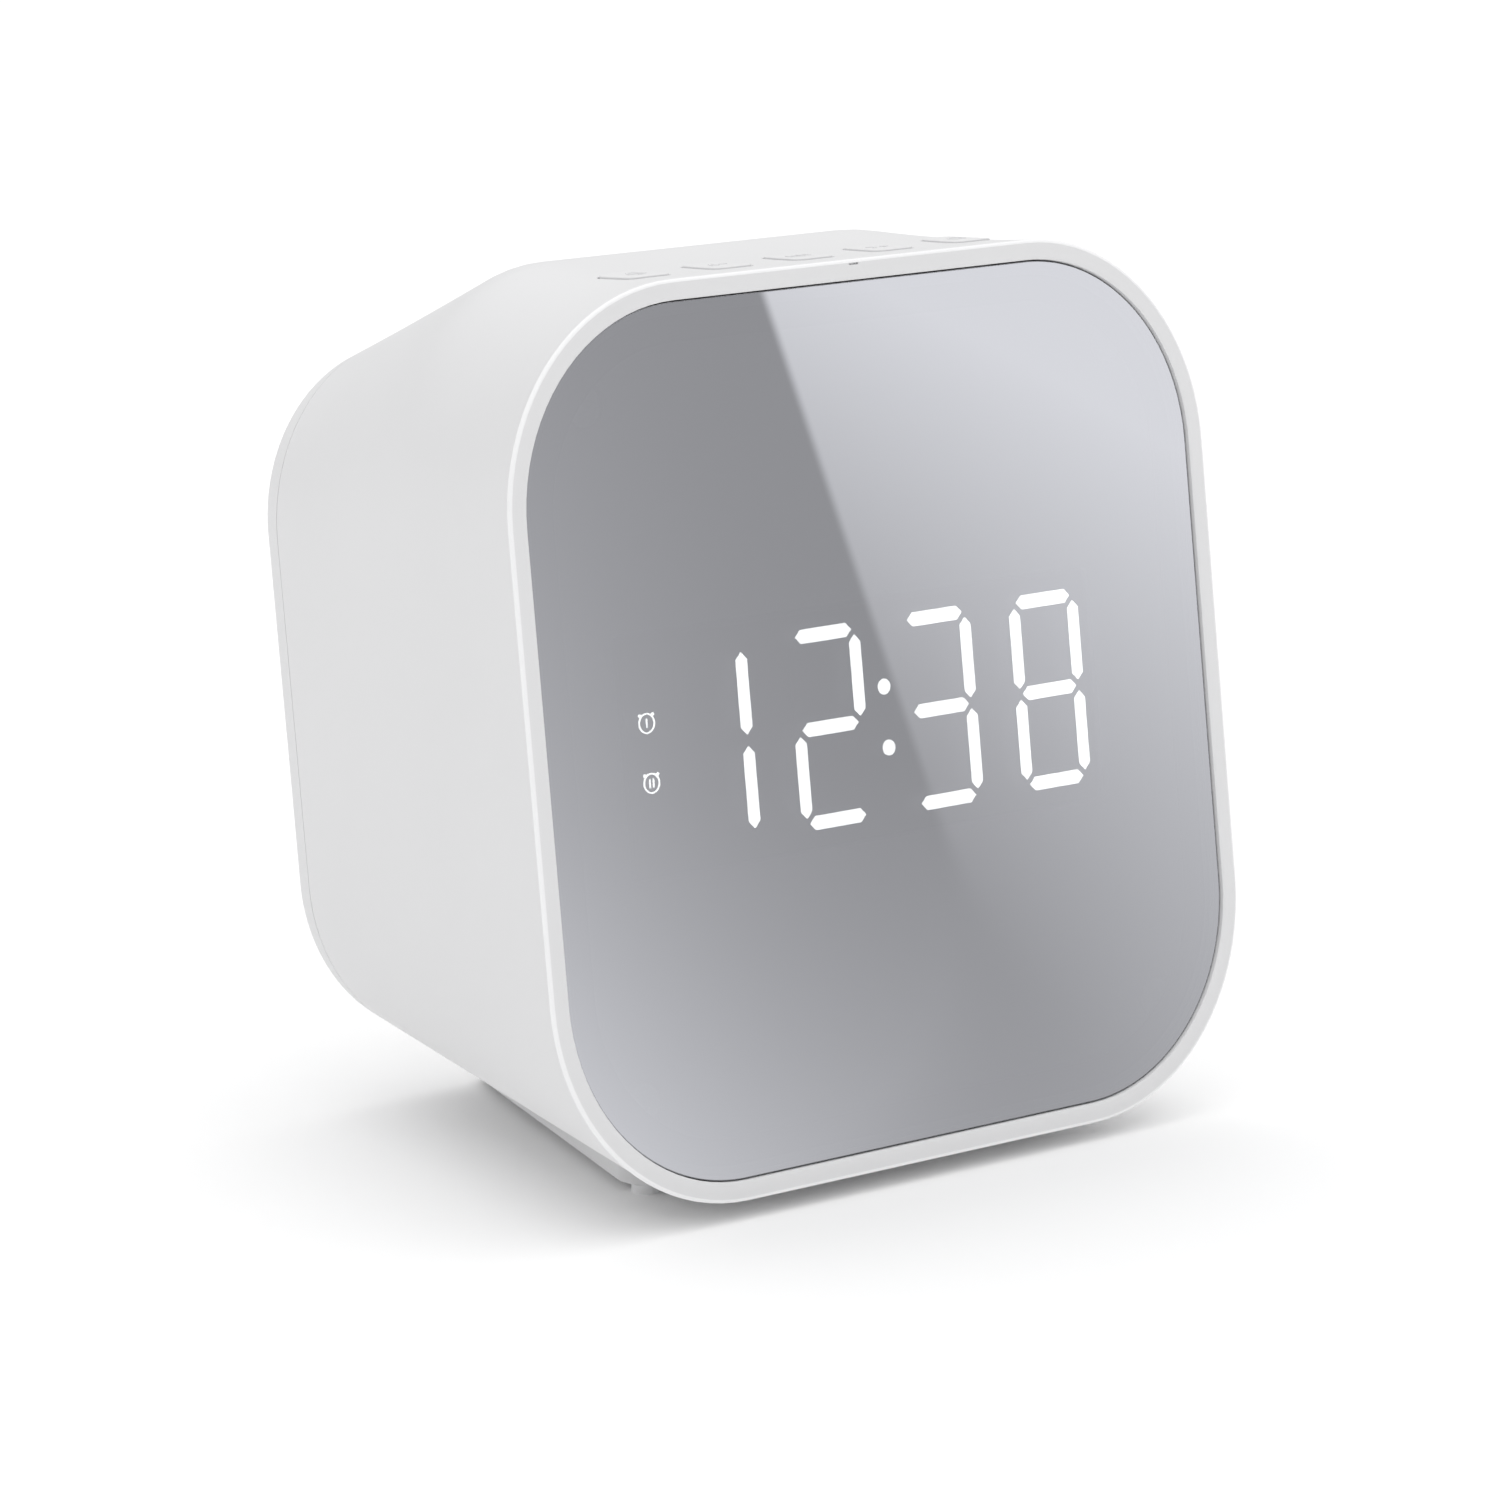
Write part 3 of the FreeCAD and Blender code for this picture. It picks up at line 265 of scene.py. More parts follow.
@dataclass(frozen=True)
class CaseShape:
    """Formulas of the case surface; every size is in mm.

    Attributes:
        half: Half width of the face.
        back_half: Half width at the back.
        depth: Full depth along the case axis.
        peak: Height of the fold in the top line.
        fold: Depth of the fold.
        back_top: Height of the top line at the back.
        back_bottom: Height of the bottom line at the back.
        corner: Corner radius of the face.
        back_low_r: Radius of the lower corners at the back.
        back_up_rx: Half width of the upper corner ellipses at the back.
        swell: What the upper corners gain in height: a start, a share of d and a share of d squared.
        rise_power: Exponent of the hollow rise from the face to the fold.
        rise_end: Depth where the hollow rise turns into the soft fold.
        fall_start: Depth where the soft fold turns into the straight fall.
    """

    half: float = 51.25
    back_half: float = 35.48
    depth: float = 67.8
    peak: float = 54.0
    fold: float = 29.0
    back_top: float = 44.28
    back_bottom: float = -37.5
    corner: float = 25.25
    back_low_r: float = 20.36
    back_up_rx: float = 20.1
    swell: tuple[float, float, float] = (0.01, 0.4212, -0.00733)
    rise_power: float = 1.7
    rise_end: float = 25.0
    fall_start: float = 33.2

    def top_line(self, d: float) -> float:
        """Height of the top at one depth: a hollow rise, a soft quadratic fold, then a straight fall.

        The rise follows (d / fold) ** rise_power between the heights of the face and of the fold.

        Args:
            d: Depth in mm.

        Returns:
            Height above the middle of the face.
        """
        def up(x: float) -> float:
            """Height on the hollow rise."""
            return self.half + (self.peak - self.half) * (max(x, 0.0) / self.fold) ** self.rise_power

        def down(x: float) -> float:
            """Height on the straight fall."""
            return self.peak + (self.back_top - self.peak) * (x - self.fold) / (self.depth - self.fold)

        if d <= self.rise_end:
            return up(d)
        if d >= self.fall_start:
            return down(d)
        k = (d - self.rise_end) / (self.fall_start - self.rise_end)
        return (1 - k) ** 2 * up(self.rise_end) + 2 * k * (1 - k) * self.peak + k ** 2 * down(self.fall_start)

    def outline(self, d: float, inset: float = 0.0) -> Outline:
        """Outline of the case at one depth, moved inwards.

        Sides and bottom narrow linearly; the upper corners' height follows a parabola in d.

        Args:
            d: Depth in mm.
            inset: Distance inside the outer surface.

        Returns:
            The outline.
        """
        def mix(front: float, back: float) -> float:
            """Size between its values at the face and at the back."""
            return front + (back - front) * d / self.depth

        start, share, square = self.swell
        return Outline(d, mix(self.half, self.back_half) - inset, self.top_line(d) - inset,
                       mix(-self.half, self.back_bottom) + inset, mix(self.corner, self.back_low_r) - inset,
                       mix(self.corner, self.back_up_rx) - inset,
                       self.corner + start + share * d + square * d * d - inset)

    def top_height(self, x: np.ndarray, d: np.ndarray) -> np.ndarray:
        """Height of the upper surface over a point of the plan.

        Outside the flat stretch it is top - rz + rz * sqrt(1 - ((|x| - flat) / rx) ** 2).

        Args:
            x: Places along the key row.
            d: Depths.

        Returns:
            Heights above the middle of the face.
        """
        out = np.empty(len(x))
        for i, (px, pd) in enumerate(zip(x, d)):
            o = self.outline(float(pd))
            over = max(abs(px) - (o.half - o.up_rx), 0.0) / o.up_rx
            out[i] = o.top - o.up_rz + o.up_rz * math.sqrt(max(1 - over * over, 0.0))
        return out


@dataclass(frozen=True)
class KeyPlan:
    """Layout of the five keys on the top surface, in mm.

    Attributes:
        pitch: Distance between key centres.
        width: Width of one key.
        length: Length of one key from front to back.
        front: Distance of the row behind the top front edge.
        radius: Corner radius of a key.
        gap: Width of the groove around a key.
        proud: Height of the key faces above the case.
        rise_deg: Tilt of the key board against the case axis.
    """

    pitch: float = 11.9
    width: float = 5.6
    length: float = 6.7
    front: float = 6.2
    radius: float = 1.1
    gap: float = 0.25
    proud: float = 0.2
    rise_deg: float = 4.93

    def centres(self) -> list[float]:
        """Places of the key centres along the row.

        Returns:
            Five x values.
        """
        return [(i - 2) * self.pitch for i in range(5)]

    @property
    def middle(self) -> float:
        """Distance of the key centres behind the top front edge."""
        return self.front + self.length / 2

    def loop(self, cx: float, grow: float, turn: int = 9, side: int = 10) -> np.ndarray:
        """Rounded rectangle round one key, widened by grow, anticlockwise as seen from above.

        Args:
            cx: Key centre along the row.
            grow: Distance outside the key's edge; negative is inside.
            turn: Points on each corner.
            side: Points on each straight edge.

        Returns:
            Rows of x and distance behind the front edge.
        """
        r = max(self.radius + grow, 0.05)
        x, y, cy = self.width / 2 + grow - r, self.length / 2 + grow - r, self.middle
        return rounded_loop([(cx + x, cy - y, r, r, -90), (cx + x, cy + y, r, r, 0),
                             (cx - x, cy + y, r, r, 90), (cx - x, cy - y, r, r, 180)], turn, side)


CASE = CaseShape()
PLACE = CaseFrame()
KEYS = KeyPlan()


def on_top(plan: np.ndarray, lift: float | np.ndarray) -> np.ndarray:
    """Carry plan points onto the top surface, lifted along the key direction.

    Args:
        plan: Rows of x and distance behind the front edge, measured along the surface.
        lift: Height above the surface in mm; negative is below it.

    Returns:
        Case-frame points.
    """
    c, s = math.cos(math.radians(KEYS.rise_deg)), math.sin(math.radians(KEYS.rise_deg))
    x, run = plan[:, 0], plan[:, 1]
    n = np.zeros(len(plan))
    for _ in range(3):
        d = run * c - n * s
        n = (CASE.top_height(x, np.maximum(d, 0.0)) - CASE.half - run * s) / c
    n = n + lift
    return np.column_stack([x, run * c - n * s, CASE.half + run * s + n * c])


def stacked_object(name: str, rings: Sequence[np.ndarray], smooth_deg: float = 35.0) -> bpy.types.Object:
    """Closed solid skinned over a stack of case-frame rings, with one polygon at each end.

    Args:
        name: Object and mesh name.
        rings: Rings of equal point count, from one end to the other.
        smooth_deg: Edges sharper than this many degrees are shaded as creases.

    Returns:
        The new object, its last polygon the end of the last ring.
    """
    count = len(rings[0])
    last = (len(rings) - 1) * count
    ends = tuple(range(count)), tuple(reversed(range(last, last + count)))
    solid = mesh_object(name, PLACE.to_row(np.vstack(rings)),
                        [ends[0], *ring_faces(len(rings), count), ends[1]], smooth_deg)
    orient_outwards(solid)
    return solid


# ----------------------------------------------------------------------------------------- finishes
class Slot(str, Enum):
    """Material slots of the record that the looks are made for."""

    CASE = "case_white"
    KEY = "key_white"
    MIRROR = "half_mirror"
    TAPE = "foam_tape"
    FRAME = "frame_black"
    FILM = "film_smoke"
    LAMP = "lamp_grey"
    LIT = "bar_lit"
    DARK = "bar_dark"
    LED = "led_chip"
    BOARD = "board_green"
    SCREW = "screw_steel"
    SWITCH = "switch_black"
    PLUNGER = "plunger_brown"
    FOOT = "rubber_white"
    BASKET = "basket_black"
    MAGNET = "magnet_grey"
    PLATE = "plate_zinc"
    COIL = "coil_copper"
    PAPER = "cone_paper"
    SURROUND = "surround_foam"
    SPIDER = "spider_cloth"
    GASKET = "gasket_foam"
    TERMINAL = "terminal_tan"
    CHIP = "chip_black"
    TIN = "can_tin"
    SLEEVE = "can_sleeve"
    JACK = "jack_black"
    CABLE = "cable_grey"
    WIRE = "wire_red"
    CELL = "cell_steel"
    CONTACT = "contact_spring"


def blank_material(name: str) -> tuple[bpy.types.Material, bpy.types.NodeTree, bpy.types.NodeSocket]:
    """Start a node material with an output and object coordinates.

    Args:
        name: Material name.

    Returns:
        The material, its empty tree with an output node named "Out", and the object coordinate socket.
    """
    material = bpy.data.materials.new(name)
    material.use_nodes = True
    tree = material.node_tree
    tree.nodes.clear()
    out = add_node(tree, "ShaderNodeOutputMaterial")
    out.name = "Out"
    return material, tree, add_node(tree, "ShaderNodeTexCoord").outputs["Object"]


@dataclass(frozen=True)
class Moulded:
    """Moulded plastic, rubber or card with a fine eroded grain.

    Attributes:
        name: Real material name.
        light: Hex colour of most of the surface.
        shade: Hex colour of its slightly darker clouds.
        rough: Mean roughness.
        grain_mm: Size of the surface grain.
        depth_mm: Depth of the surface grain.
        sheen: Strength of a soft fibre sheen.
        clear: Strength of a clear coat.
        seep: Share of light that scatters under the surface.
        cloud_mm: Size of the clouds.
    """

    name: str
    light: str
    shade: str
    rough: float = 0.42
    grain_mm: float = 0.35
    depth_mm: float = 0.006
    sheen: float = 0.0
    clear: float = 0.0
    seep: float = 0.0
    cloud_mm: float = 22.0

    def build(self) -> bpy.types.Material:
        """Make the Blender material.

        Returns:
            The material.
        """
        material, tree, place = blank_material(self.name)
        clouds = add_node(tree, "ShaderNodeTexNoise", {"Scale": 1000 / self.cloud_mm, "Detail": 3.0},
                          {"Vector": place})
        grain = add_node(tree, "ShaderNodeTexNoise", {"Scale": 1000 / self.grain_mm, "Detail": 2.0},
                         {"Vector": place})
        colour = add_node(tree, "ShaderNodeMix", {"data_type": "RGBA"}, {0: clouds.outputs["Fac"]})
        for socket, code in ((6, self.light), (7, self.shade)):
            colour.inputs[socket].default_value = rgba(code)
        rough = add_node(tree, "ShaderNodeMapRange",
                         {"To Min": self.rough - 0.04, "To Max": self.rough + 0.04},
                         {"Value": grain.outputs["Fac"]})
        bump = add_node(tree, "ShaderNodeBump", {"Strength": 0.6, "Distance": self.depth_mm * MM},
                        {"Height": grain.outputs["Fac"]})
        skin = add_node(tree, "ShaderNodeBsdfPrincipled",
                        {"Sheen Weight": self.sheen, "Coat Weight": self.clear, "Coat Roughness": 0.12,
                         "Subsurface Weight": self.seep, "Subsurface Scale": 0.6 * MM,
                         "Subsurface Radius": (1.0, 0.95, 0.9)},
                        {"Base Color": colour.outputs[2], "Roughness": rough.outputs[0],
                         "Normal": bump.outputs[0]})
        tree.links.new(skin.outputs[0], tree.nodes["Out"].inputs["Surface"])
        return material


@dataclass(frozen=True)
class Metal:
    """Bare or plated metal with drawn or tumbled streaks.

    Attributes:
        name: Real material name.
        tint: Hex colour of the metal.
        rough: Mean roughness.
        streak_mm: Width of the streaks.
        stretch: How many times longer than wide the streaks are.
    """

    name: str
    tint: str
    rough: float = 0.28
    streak_mm: float = 0.12
    stretch: float = 14.0

    def build(self) -> bpy.types.Material:
        """Make the Blender material.

        Returns:
            The material.
        """
        material, tree, place = blank_material(self.name)
        turned = add_node(tree, "ShaderNodeMapping", {"Scale": (1.0 / self.stretch, 1.0, 1.0)},
                          {"Vector": place})
        streaks = add_node(tree, "ShaderNodeTexNoise", {"Scale": 1000 / self.streak_mm, "Detail": 3.0},
                           {"Vector": turned.outputs[0]})
        rough = add_node(tree, "ShaderNodeMapRange",
                         {"To Min": self.rough - 0.08, "To Max": self.rough + 0.10},
                         {"Value": streaks.outputs["Fac"]})
        bump = add_node(tree, "ShaderNodeBump", {"Strength": 0.3, "Distance": 0.004 * MM},
                        {"Height": streaks.outputs["Fac"]})
        skin = add_node(tree, "ShaderNodeBsdfPrincipled", {"Base Color": rgba(self.tint), "Metallic": 1.0},
                        {"Roughness": rough.outputs[0], "Normal": bump.outputs[0]})
        tree.links.new(skin.outputs[0], tree.nodes["Out"].inputs["Surface"])
        return material


@dataclass(frozen=True)
class CircuitBoard:
    """Solder mask over glass fibre, with faint copper tracks and a weave.

    Attributes:
        name: Real material name.
        mask: Hex colour of the bare mask.
        track: Hex colour of the mask over copper.
        track_mm: Size of the track pattern.
        weave_mm: Size of the glass weave.
    """

    name: str = "solder_mask_on_fibreglass"
    mask: str = "#0b4a2a"
    track: str = "#1a6b3d"
    track_mm: float = 9.0
    weave_mm: float = 2.2

    def build(self) -> bpy.types.Material:
        """Make the Blender material.

        Returns:
            The material.
        """
        material, tree, place = blank_material(self.name)
        tracks = add_node(tree, "ShaderNodeTexBrick",
                          {"Scale": 1000 / self.track_mm, "Mortar Size": 0.035, "Bias": -0.2},
                          {"Vector": place})
        weave = add_node(tree, "ShaderNodeTexWave", {"Scale": 1000 / self.weave_mm, "Distortion": 1.0},
                         {"Vector": place})
        colour = add_node(tree, "ShaderNodeMix", {"data_type": "RGBA"}, {0: tracks.outputs["Fac"]})
        colour.inputs[6].default_value = rgba(self.mask)
        colour.inputs[7].default_value = rgba(self.track)
        bump = add_node(tree, "ShaderNodeBump", {"Strength": 0.2, "Distance": 0.01 * MM},
                        {"Height": weave.outputs["Fac"]})
        skin = add_node(tree, "ShaderNodeBsdfPrincipled", {"Roughness": 0.3, "Coat Weight": 0.4},
                        {"Base Color": colour.outputs[2], "Normal": bump.outputs[0]})
        tree.links.new(skin.outputs[0], tree.nodes["Out"].inputs["Surface"])
        return material


@dataclass(frozen=True)
class Glow:
    """Milky plastic lit from behind.

    Attributes:
        name: Real material name.
        colour: Hex colour of the light.
        strength: Radiance of the lit face.
    """

    name: str
    colour: str
    strength: float

    def build(self) -> bpy.types.Material:
        """Make the Blender material.

        Returns:
            The material.
        """
        material, tree, _ = blank_material(self.name)
        skin = add_node(tree, "ShaderNodeBsdfPrincipled",
                        {"Base Color": rgba(self.colour), "Roughness": 0.5,
                         "Emission Color": rgba(self.colour), "Emission Strength": self.strength})
        tree.links.new(skin.outputs[0], tree.nodes["Out"].inputs["Surface"])
        return material


@dataclass(frozen=True)
class HalfMirror:
    """Thin silver film on clear acrylic: it reflects most light and lets the display through.

    Attributes:
        name: Real material name.
        tint: Hex colour of the reflection.
        through: Share of the light that passes.
        ripple_mm: Size of the faint waves in the panel.
    """

    name: str = "half_silvered_acrylic"
    tint: str = "#bdbec2"
    through: float = 0.10
    ripple_mm: float = 60.0

    def build(self) -> bpy.types.Material:
        """Make the Blender material.

        Returns:
            The material.
        """
        material, tree, place = blank_material(self.name)
        ripple = add_node(tree, "ShaderNodeTexNoise", {"Scale": 1000 / self.ripple_mm, "Detail": 1.0},
                          {"Vector": place})
        bump = add_node(tree, "ShaderNodeBump", {"Strength": 0.04, "Distance": 0.02 * MM},
                        {"Height": ripple.outputs["Fac"]})
        silver = add_node(tree, "ShaderNodeBsdfGlossy", {"Color": rgba(self.tint), "Roughness": 0.0},
                          {"Normal": bump.outputs[0]})
        clear = add_node(tree, "ShaderNodeBsdfTransparent")
        both = add_node(tree, "ShaderNodeMixShader", {0: self.through},
                        {1: silver.outputs[0], 2: clear.outputs[0]})
        tree.links.new(both.outputs[0], tree.nodes["Out"].inputs["Surface"])
        return material


FINISHES: dict[Slot, Any] = {
    Slot.CASE: Moulded("white_abs", "#dededf", "#dbdbdc", 0.40, 0.30, 0.004),
    Slot.KEY: Moulded("white_abs_key", "#e0e0e1", "#dcdcdd", 0.40, 0.30, 0.004),
    Slot.MIRROR: HalfMirror(),
    Slot.TAPE: Moulded("black_foam_tape", "#141414", "#0e0e0e", 0.85, 0.5, 0.05),
    Slot.FRAME: Moulded("grey_abs", "#85868a", "#7f8084", 0.5, 0.4, 0.01),
    Slot.FILM: Moulded("smoked_polycarbonate_film", "#1c1d1f", "#18191b", 0.35, 0.2, 0.004),
    Slot.LAMP: Moulded("grey_polycarbonate", "#4a4c50", "#424448", 0.5, 0.4, 0.01),
    Slot.LIT: Glow("lit_diffuser", "#ffffff", 8.0),
    Slot.DARK: Moulded("unlit_diffuser", "#1c1d1f", "#18191b", 0.35, 0.2, 0.004),
    Slot.LED: Moulded("led_phosphor", "#f1dc6c", "#e6cf5a", 0.25, 0.1, 0.002, 0.0, 0.5),
    Slot.BOARD: CircuitBoard(),
    Slot.SCREW: Metal("zinc_plated_steel", "#b9bbbf", 0.3),
    Slot.SWITCH: Moulded("black_nylon", "#1a1a1b", "#131314", 0.45, 0.25, 0.01),
    Slot.PLUNGER: Moulded("brown_nylon", "#4a2b1c", "#3f2418", 0.4, 0.25, 0.01),
    Slot.FOOT: Moulded("white_silicone", "#e9e9ea", "#e2e2e3", 0.6, 0.4, 0.01),
    Slot.BASKET: Moulded("black_enamelled_steel", "#161617", "#101011", 0.35, 0.6, 0.01, 0.0, 0.3),
    Slot.MAGNET: Moulded("sintered_ferrite", "#3a3a3d", "#2d2d30", 0.6, 0.15, 0.02),
    Slot.PLATE: Metal("yellow_zinc_steel", "#c9bd8e", 0.3),
    Slot.COIL: Metal("enamelled_copper_wire", "#c4703c", 0.25, 0.2, 1.0),
    Slot.PAPER: Moulded("black_paper_pulp", "#232324", "#1a1a1b", 0.9, 0.5, 0.06, 0.2),
    Slot.SURROUND: Moulded("foam_roll", "#1d1d1d", "#171717", 0.85, 0.25, 0.05, 0.2),
    Slot.SPIDER: Moulded("treated_cotton", "#c79c55", "#b98d48", 0.85, 0.4, 0.08, 0.4),
    Slot.GASKET: Moulded("closed_cell_foam", "#262626", "#1e1e1e", 0.9, 0.3, 0.06),
    Slot.TERMINAL: Moulded("phenolic_board", "#8b683d", "#7b5b33", 0.6, 0.4, 0.02),
    Slot.CHIP: Moulded("epoxy_moulding", "#161618", "#101012", 0.6, 0.08, 0.01),
    Slot.TIN: Metal("tinned_steel", "#d0d2d4", 0.22),
    Slot.SLEEVE: Moulded("shrink_sleeve", "#15182e", "#101325", 0.3, 0.6, 0.01, 0.0, 0.4),
    Slot.JACK: Moulded("black_pbt", "#151516", "#0f0f10", 0.45, 0.3, 0.01),
    Slot.CABLE: Moulded("flat_cable_jacket", "#d6d6d3", "#cbcbc7", 0.5, 1.2, 0.05),
    Slot.WIRE: Moulded("red_pvc_insulation", "#a5231d", "#971e19", 0.35, 0.6, 0.01),
    Slot.CELL: Metal("nickel_plated_steel", "#cfd0d0", 0.2),
    Slot.CONTACT: Metal("tin_plated_bronze", "#cdbd8e", 0.25),
}
# Painted highlight: the rim's rounded outer edge is coloured whiter than the case, standing for the bright
# line that light draws along it.
RIM_EDGE_PAINTED_HIGHLIGHT = Moulded("abs_rim_edge_painted_highlight", "#f3f3f4", "#f0f0f1", 0.22, 0.30, 0.002)


@dataclass
class Wardrobe:
    """Builds each finish once and hands it out.

    Attributes:
        made: Materials that exist already, by slot.
    """

    made: dict[Slot, bpy.types.Material] = field(default_factory=dict)

    def get(self, slot: Slot) -> bpy.types.Material:
        """Material of one slot.

        Args:
            slot: Record slot.

        Returns:
            The Blender material.
        """
        if slot not in self.made:
            self.made[slot] = FINISHES[slot].build()
        return self.made[slot]


# -------------------------------------------------------------------------------------- object parts
@dataclass
class SubAssembly:
    """One group of pieces that is built, dressed and hung on its body.

    Attributes:
        wardrobe: Source of materials.
    """

    wardrobe: Wardrobe

    def settle(self, obj: bpy.types.Object, slot: Slot, body: str, *replaced: str) -> bpy.types.Object:
        """Dress a new piece, hang it on a body and let it stand for CAD nodes.

        Args:
            obj: New piece.
            slot: Record slot of its finish.
            body: CAD body that carries it.
            *replaced: CAD nodes that it stands for.

        Returns:
            The same piece.
        """
        obj.data.materials.clear()
        obj.data.materials.append(self.wardrobe.get(slot))
        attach(obj, body)
        if replaced:
            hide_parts(*replaced)
        return obj


@dataclass
class CaseSkin(SubAssembly):
    """The white case moulding: outer skin, rounded rim, mouth and key openings in one closed mesh.

    Attributes:
        rim_round: Radius of the rim's outer edge, in mm.
        mouth_half: Half width of the mirror opening.
        mouth_r: Corner radius of the mirror opening.
        seat: Depth of the ledge behind the mirror's frame.
        wall: Wall thickness.
        back: Depth where the rear cover starts.
        lip: Softening of the mouth's and the rear edge.
        edge: Chamfer round the key openings.
        notch_x: Half width of the small notch at the top of the rim.
        notch_z: Heights of the notch's lower and upper edge.
        notch_deep: Depth of the notch.
    """

    rim_round: float = 0.4
    mouth_half: float = 48.9
    mouth_r: float = 22.9
    seat: float = 4.0
    wall: float = 2.4
    back: float = 64.8
    lip: float = 0.12
    edge: float = 0.08
    notch_x: float = 0.7
    notch_z: tuple[float, float] = (50.6, 50.8)
    notch_deep: float = 0.3

    def mouth(self) -> list[Outline]:
        """Rings of the mirror opening, from its seat to the flat of the rim.

        Returns:
            Outlines from the inside to the face.
        """
        steps = ((self.seat, 0.0), (2.0, 0.0), (self.lip, 0.0), (self.lip / 4, self.lip / 4),
                 (0.0, self.lip), (0.0, 0.5))
        rings = []
        for depth, grow in steps:
            half, corner = self.mouth_half + grow, self.mouth_r + grow
            rings.append(Outline(depth, half, half, -half, corner, corner, corner))
        return rings

    def rim(self) -> list[Outline]:
        """Rings of the rounded outer edge of the rim.

        Returns:
            Outlines from the face to the side.
        """
        r = self.rim_round
        return [replace(CASE.outline(0.0, r - r * math.sin(a)), depth=r - r * math.cos(a))
                for a in np.radians(np.linspace(0, 90, 7))]

    def walls(self) -> list[Outline]:
        """Rings of the outer surface to the back and of the room inside, back to the seat.

        Returns:
            Outlines in the order in which they are skinned.
        """
        skin = [CASE.outline(d) for d in np.linspace(self.rim_round + 0.4, self.back - self.lip, 84)]
        tail = [CASE.outline(self.back, self.lip), CASE.outline(self.back, self.wall)]
        room = [CASE.outline(d, self.wall) for d in np.linspace(self.back - 1.0, self.seat, 30)]
        return skin + tail + room

    def cutter(self, cx: float) -> bpy.types.Object:
        """Solid that opens one key hole, flared at the surface into a small chamfer.

        Args:
            cx: Key centre along the row.

        Returns:
            The cutter object.
        """
        levels = [(3.0, self.edge), (0.4, self.edge), (0.0, self.edge), (-self.edge, 0.0), (-4.6, 0.0)]
        return stacked_object("key_cutter", [on_top(KEYS.loop(cx, KEYS.gap + grow), lift)
                                             for lift, grow in levels])

    def notch_cutter(self) -> bpy.types.Object:
        """Box that cuts the small notch into the rim, just above the mirror.

        Returns:
            The cutter object.
        """
        x, (low, high) = self.notch_x, self.notch_z
        corners = [[a, d, z] for d in (-1.0, self.notch_deep)
                   for a, z in ((-x, low), (x, low), (x, high), (-x, high))]
        box = mesh_object("notch_cutter", PLACE.to_row(np.array(corners)), BOX_FACES)
        orient_outwards(box)
        return box

    def build(self) -> bpy.types.Object:
        """Skin the wall, cut the five openings and the rim notch, and hang the case.

        Returns:
            The case piece.
        """
        mouth, rim = self.mouth(), self.rim()
        rings = [outline.ring() for outline in mouth + rim + self.walls()]
        count = len(rings[0])
        faces = ring_faces(len(rings), count, closed_rows=True)
        case = mesh_object("case_moulding", PLACE.to_row(np.vstack(rings)), faces)
        orient_outwards(case)
        # The rows of the rim's rounded edge take the painted-highlight material, a whiter colour standing for
        # the light line along the edge.
        highlight_rows = range(len(mouth), len(mouth) + len(rim) - 1)
        case.data.materials.append(self.wardrobe.get(Slot.CASE))
        case.data.materials.append(RIM_EDGE_PAINTED_HIGHLIGHT.build())
        case.data.polygons.foreach_set("material_index",
                                       [int(i // count in highlight_rows) for i in range(len(faces))])
        tools = [self.cutter(x) for x in KEYS.centres()] + [self.notch_cutter()]
        for tool in tools:
            step = case.modifiers.new("open", "BOOLEAN")
            step.operation, step.solver, step.object = "DIFFERENCE", "EXACT", tool
        bake_modifiers(case)
        for tool in tools:
            bpy.data.objects.remove(tool, do_unlink=True)
        case.data.shade_smooth()
        case.data.set_sharp_from_angle(angle=math.radians(30))
        log.info("case: %d faces", len(case.data.polygons))
        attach(case, "case")
        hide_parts("main_shell")
        return case


